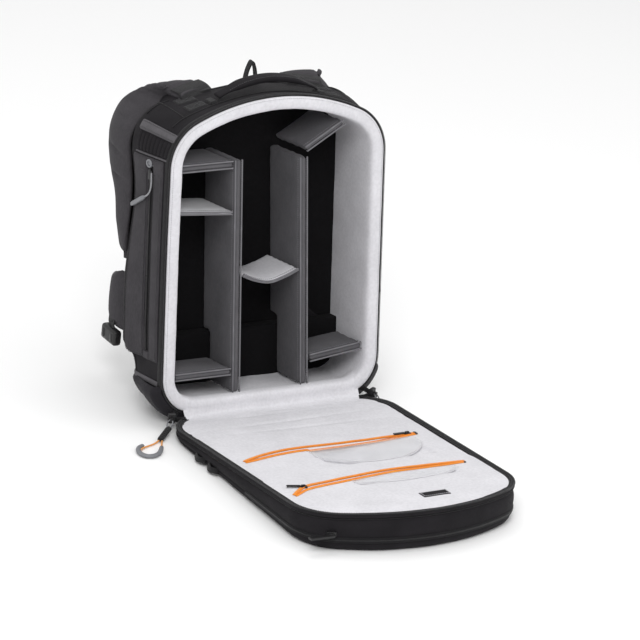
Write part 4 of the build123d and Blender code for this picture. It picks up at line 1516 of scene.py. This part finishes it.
def build_straps():
    """Each shoulder strap with its sternum strap and hip wing."""
    for side, name in SIDES:
        body = f"shoulder_strap_{name}"
        mirror = np.array([side, 1, 1])
        route = spline(np.array(STRAP_ROUTE) * mirror, STRAP_POINTS) * MM
        normal = np.cross(headings(route), (side, 0, 0))
        normal = facing_away(normal, route, (side * 0.13, 0.12, 0.33))
        share = np.linspace(0, 1, STRAP_POINTS)
        thick = 12.0 + 4.2 * bumps(share, STRAP_RIBS, 0.010) - 3.4 * bumps(share, STRAP_CREASES, 0.012)
        thick = thick + 0.5 * ripple(route, 0.03, 61)
        width = 60.0 - 6 * smooth((share - 0.85) / 0.15)
        b = Build()
        ribbon(b, route, normal, width, thick, crown=0.32)
        pad = b.piece(f"strap_{name}_pad", body, SHELL, "shell_fabric", body)
        b = Build()
        inside = route - normal * (5.6 * MM)
        ribbon(b, inside[4:-4], -normal[4:-4], 50, 2.6, crown=0.3)
        b.piece(f"strap_{name}_mesh", body, MESH, "mesh_foam")
        build_flank(side, name, route, normal)
        b = Build()
        for offset in (-1, 1):
            across = np.array([side, 0, 0]) * offset * (29.2 * MM)
            b.tube(route[2:-2] + across * (width[2:-2] / 60)[:, None], 1.5, 8)
        b.piece(f"strap_{name}_binding", body, WEB, "webbing")
        b = Build()
        over = route + normal * (8.8 * MM)
        ribbon(b, over[38:104], normal[38:104], 25, 1.7)
        b.piece(f"strap_{name}_webbing", body, WEB, "webbing")
        b = Build()
        root = spline(np.array(STRAP_ROOT) * mirror, 24) * MM
        ribbon(b, root, (0, -0.25, 1), 62, 2.4, crown=0.5)
        root_tape = b.object(f"strap_{name}_root_tape")
        sewn_between(root_tape, WEB)
        build_sternum(side, name)
        build_wing(side, name)


def build_flank(side, name, route, normal):
    """The strap's deep padded side, which curls forward from its outer edge to the bag's back corner."""
    rows = []
    for i in range(7, 100):
        share = i / (STRAP_POINTS - 1)
        outer = route[i] + np.array([side * 29, 0, 0]) * MM + normal[i] * (4 * MM)
        s = (outer[2] / MM - HINGE_Z) / math.cos(LEAN) + 16
        t = left_t(float(np.clip(s, 60, 452)))
        inner = shell_at([t if side < 0 else 1 - t], 113.0, 3.0)[0]
        inner[2] = outer[2] - 2 * MM
        fade = smooth((share - 0.04) / 0.10) * smooth((1.0 - share) / 0.25)
        rib = bumps(share, STRAP_RIBS, 0.011)
        crease = bumps(share, STRAP_CREASES, 0.012)
        row = []
        for k in np.linspace(0, 1, 22):
            bulge = 11.5 * fade + 3.0 * rib * (1 - k) - 3.4 * crease * math.sin(math.pi * k)
            bulge *= math.sin(math.pi * min(1, 0.12 + k * 0.88)) ** 0.75
            point = outer + (inner - outer) * k + np.array([side * bulge, 0, 0]) * MM
            row.append(point + normal[i] * 0.35 * bulge * (1 - k) * MM)
        rows.append(row)
    rows = ruffled(rows, 0.04, 67, 0.8, (side, 0, 0), stretch=(1, 1, 2))
    flank = thicken(Build(rows).object(f"strap_{name}_flank"), 7, 0.0)
    finish_piece(flank, f"shoulder_strap_{name}", SHELL, "shell_fabric")


def build_sternum(side, name):
    """The sternum strap's webbing, hanging from its keeper, with its clip at the end."""
    x = side * 139.0
    body = f"sternum_strap_{name}"
    line = np.array([(x, 159.2, 236 - 32 * k) for k in np.linspace(0, 1, 12)]) * MM
    b = Build()
    ribbon(b, line, (0, 1, 0), 19, 1.9)
    b.piece(f"sternum_{name}_webbing", body, WEB, "webbing", body)
    for part, size, bevel, y, z in (
        ("keeper", (27, 3.2, 17), 1.2, 159.4, 247),
        ("clip", (25, 7, 17), 2.2, 159.3, 197),
    ):
        block = rounded_box(f"sternum_{name}_{part}", size, bevel)
        place(block, np.array((x, y, z)) * MM, (1, 0, 0), (0, 0, 1))
        finish_piece(block, body, PLASTIC, "black_plastic")


# A hip wing seen from above, on the right side, as (x, y) points
WING_PLAN = ((138, 115.5), (147, 120.5), (158, 131), (164.5, 148), (162, 166), (151.5, 183))


def build_wing(side, name):
    """The hip wing's pad and webbing, and its buckle."""
    body = f"hip_wing_{name}"
    plan = spline(WING_PLAN, 40)
    share = np.linspace(0, 1, 40)
    path = np.c_[side * plan[:, 0], plan[:, 1], np.full(40, 130.0)] * MM
    normal = np.cross(headings(path), (0, 0, 1))
    normal = facing_away(normal, path, (side * 0.148, 0.16, 0.13))
    width = 96 - 34 * smooth((share - 0.55) / 0.45)
    b = Build()
    ribbon(b, path, normal, width, 10.5, crown=0.35)
    pad = swell(b.object(f"wing_{name}_pad"), 4.0, 1.6)
    finish_piece(pad, body, SHELL, "shell_fabric", body)
    b = Build()
    band = np.c_[side * (plan[:, 0] + 5.4), plan[:, 1], 118 - 26 * share] * MM
    ribbon(b, band[8:], normal[8:], 24, 1.8)
    drop = spline([(side * 166, 158, 100), (side * 169.5, 154, 90), (side * 170, 151, 81)], 16) * MM
    ribbon(b, drop, (side, 0.1, 0), 22, 1.8)
    b.piece(f"wing_{name}_webbing", body, WEB, "webbing")
    shell = rounded_box(f"hip_buckle_{name}_shell", (43, 14.5, 24), 5, 4)
    place(shell, np.array((side * 170.0, 151.0, 71.0)) * MM, (0, 1, 0), (0, 0, 1))
    finish_piece(shell, body, PLASTIC, "black_plastic", f"hip_buckle_{name}")
    b = Build()
    for y in (138.5, 163.5):
        middle = np.array((side * 177.4, y, 71.0)) * MM
        b.brick(middle, (0, 4 * MM, 0), (0, 0, 8 * MM), (side * 0.9 * MM, 0, 0), 0.7)
    b.piece(f"hip_buckle_{name}_buttons", body, PLASTIC, "black_plastic")


# The ridge of the saddle behind a strap's root, as (y, z) points
YOKE_TOP = ((112, 463.5), (128, 462.5), (144, 455.5))


def build_yoke():
    """A soft saddle on the back of the top that closes the space under each strap's root."""
    for side, name in SIDES:
        columns = []
        for x in np.linspace(56, 150, 34):
            t = crown_t(side * x)
            front = shell_at([t], 84.0, 0.5)[0]
            back = shell_at([t], 128.0, 0.5)[0]
            ends = smooth((x - 56) / 12) * smooth((150 - x) / 34)
            drop = 0.10 * max(0, x - 90)
            over = [np.array((front[0], y * MM, (z - drop) * MM)) for y, z in YOKE_TOP]
            flat = [front + (back - front) * k for k in (0.4, 0.65, 0.9)]
            inner = [f + (o - f) * ends for o, f in zip(over, flat)]
            columns.append(spline([front, *inner, back - np.array([0, 0, 20]) * MM], 18))
        b = Build(ruffled(columns, 0.03, 73, 0.7, (0, 0.3, 1)))
        b.piece(f"yoke_{name}", "bag_body", BLACK, "shell_fabric")


def build_back():
    """The back's mesh and its three pads, and the webbing between pads and hip wings."""
    t = np.linspace(0, 1, 361)[:-1]
    rows = []
    for inset, d in ((26, 122.5), (26, 128), (27, 132), (29.5, 134.6), (34, 135.2)):
        x, s = edge(t, inset).T
        rows.append(body_at(x, np.maximum(s, 97.5 + (inset - 26) * 0.6), d))
    centre = body_at(0, 270, 135)
    last = rows[-1]
    for k in np.linspace(0.12, 0.97, 10):
        rows.append(last + (centre - last) * k)
    b = Build(rows, wrap_v=True)
    b.cap(rows[-1])
    b.piece("back_mesh", "bag_body", MESH, "mesh_foam", "back_panel")
    for name, size, bevel, centre, voxel, puff, nodes in (
        ("back_pad_left", (74, 181, 8.5), 3.6, (-53, 307.5, 140.9), 4.5, 2.6, ("back_pads",)),
        ("back_pad_right", (74, 181, 8.5), 3.6, (53, 307.5, 140.9), 4.5, 2.6, ()),
        ("lumbar_pad_foam", (270, 92, 10), 4.6, (0, 152, 142.2), 5.0, 2.8, ("lumbar_pad",)),
    ):
        pad = rounded_box(name, size, bevel)
        place(pad, body_at(*centre), (1, 0, 0), -BODY_OUT)
        swell(pad, voxel, puff)
        finish_piece(pad, "bag_body", MESH, "mesh_foam", *nodes)
    b = Build()
    for side in (-1, 1):
        path = [(side * 124.5, 144.2 - 20.8 * k, 195.5 - 32 * k) for k in np.linspace(0, 1, 14)]
        ribbon(b, np.array(path) * MM, (0, 0.84, -0.54), 24, 1.5)
    b.piece("strap_webbing_bands", "bag_body", WEB, "webbing", "strap_webbing")


# The tripod sleeve's section at its rim, as (x, depth) pairs, and the strap above it likewise
SLEEVE_PLAN = (
    (184.8, 26), (192, 25.2), (198.6, 28.5), (200.2, 38), (200.4, 60),
    (200.2, 82), (198.6, 91.5), (192, 94.8), (184.8, 94),
)
TRIPOD_STRAP_PLAN = ((185, 93), (189.5, 92), (190.6, 84), (190.2, 72), (189.2, 58))


def build_tripod_side():
    """The open sleeve for a tripod's foot on the bag's right side, and the strap above it."""
    x, depth = spline(SLEEVE_PLAN, 70).T
    rows = []
    for s in np.r_[48, 49.5, np.linspace(54, 148, 16), 149.8]:
        flare = 0.6 * smooth((s - 120) / 30) - 2.0 * smooth((54 - s) / 6)
        rows.append(body_at(x + flare - 1.2 * np.sin((s - 47) / 103 * math.pi), s, depth))
    rows = ruffled(rows, 0.03, 71, 0.6, (1, 0.3, 0))
    b = Build(rows)
    b.grid([rows[0] + (rows[0].mean(0) - rows[0]) * k for k in (0, 0.4, 0.8, 0.96)])
    sleeve = thicken(b.object("tripod_sleeve_cloth"), 1.6)
    finish_piece(sleeve, "bag_body", BLACK, "black_fabric", "tripod_sleeve")
    b = Build()
    b.tube(body_at(x + 0.4, 149.0, depth), 1.6, 8)
    b.piece("tripod_sleeve_hem", "bag_body", WEB, "webbing")
    b = Build()
    x, depth = spline(TRIPOD_STRAP_PLAN, 30).T
    ribbon(b, body_at(x, 311, depth), (1, 0, 0), 20, 1.7)
    b.piece("tripod_strap_webbing", "bag_body", WEB, "webbing", "tripod_strap")


# ---- the whole bag


look()
studio()
for make in (
    build_shell, build_side_panels, build_side_zip, build_side_trim, build_top,
    build_top_piping, build_handle, build_boot, build_rim, build_shaded_compartment_back,
    build_rim_stitches, build_zips, build_dividers, build_panel_shell, build_panel_lining,
    build_pockets, build_label, build_loops, build_pulls, build_hinge,
    build_straps, build_back, build_yoke, build_tripod_side,
):
    make()
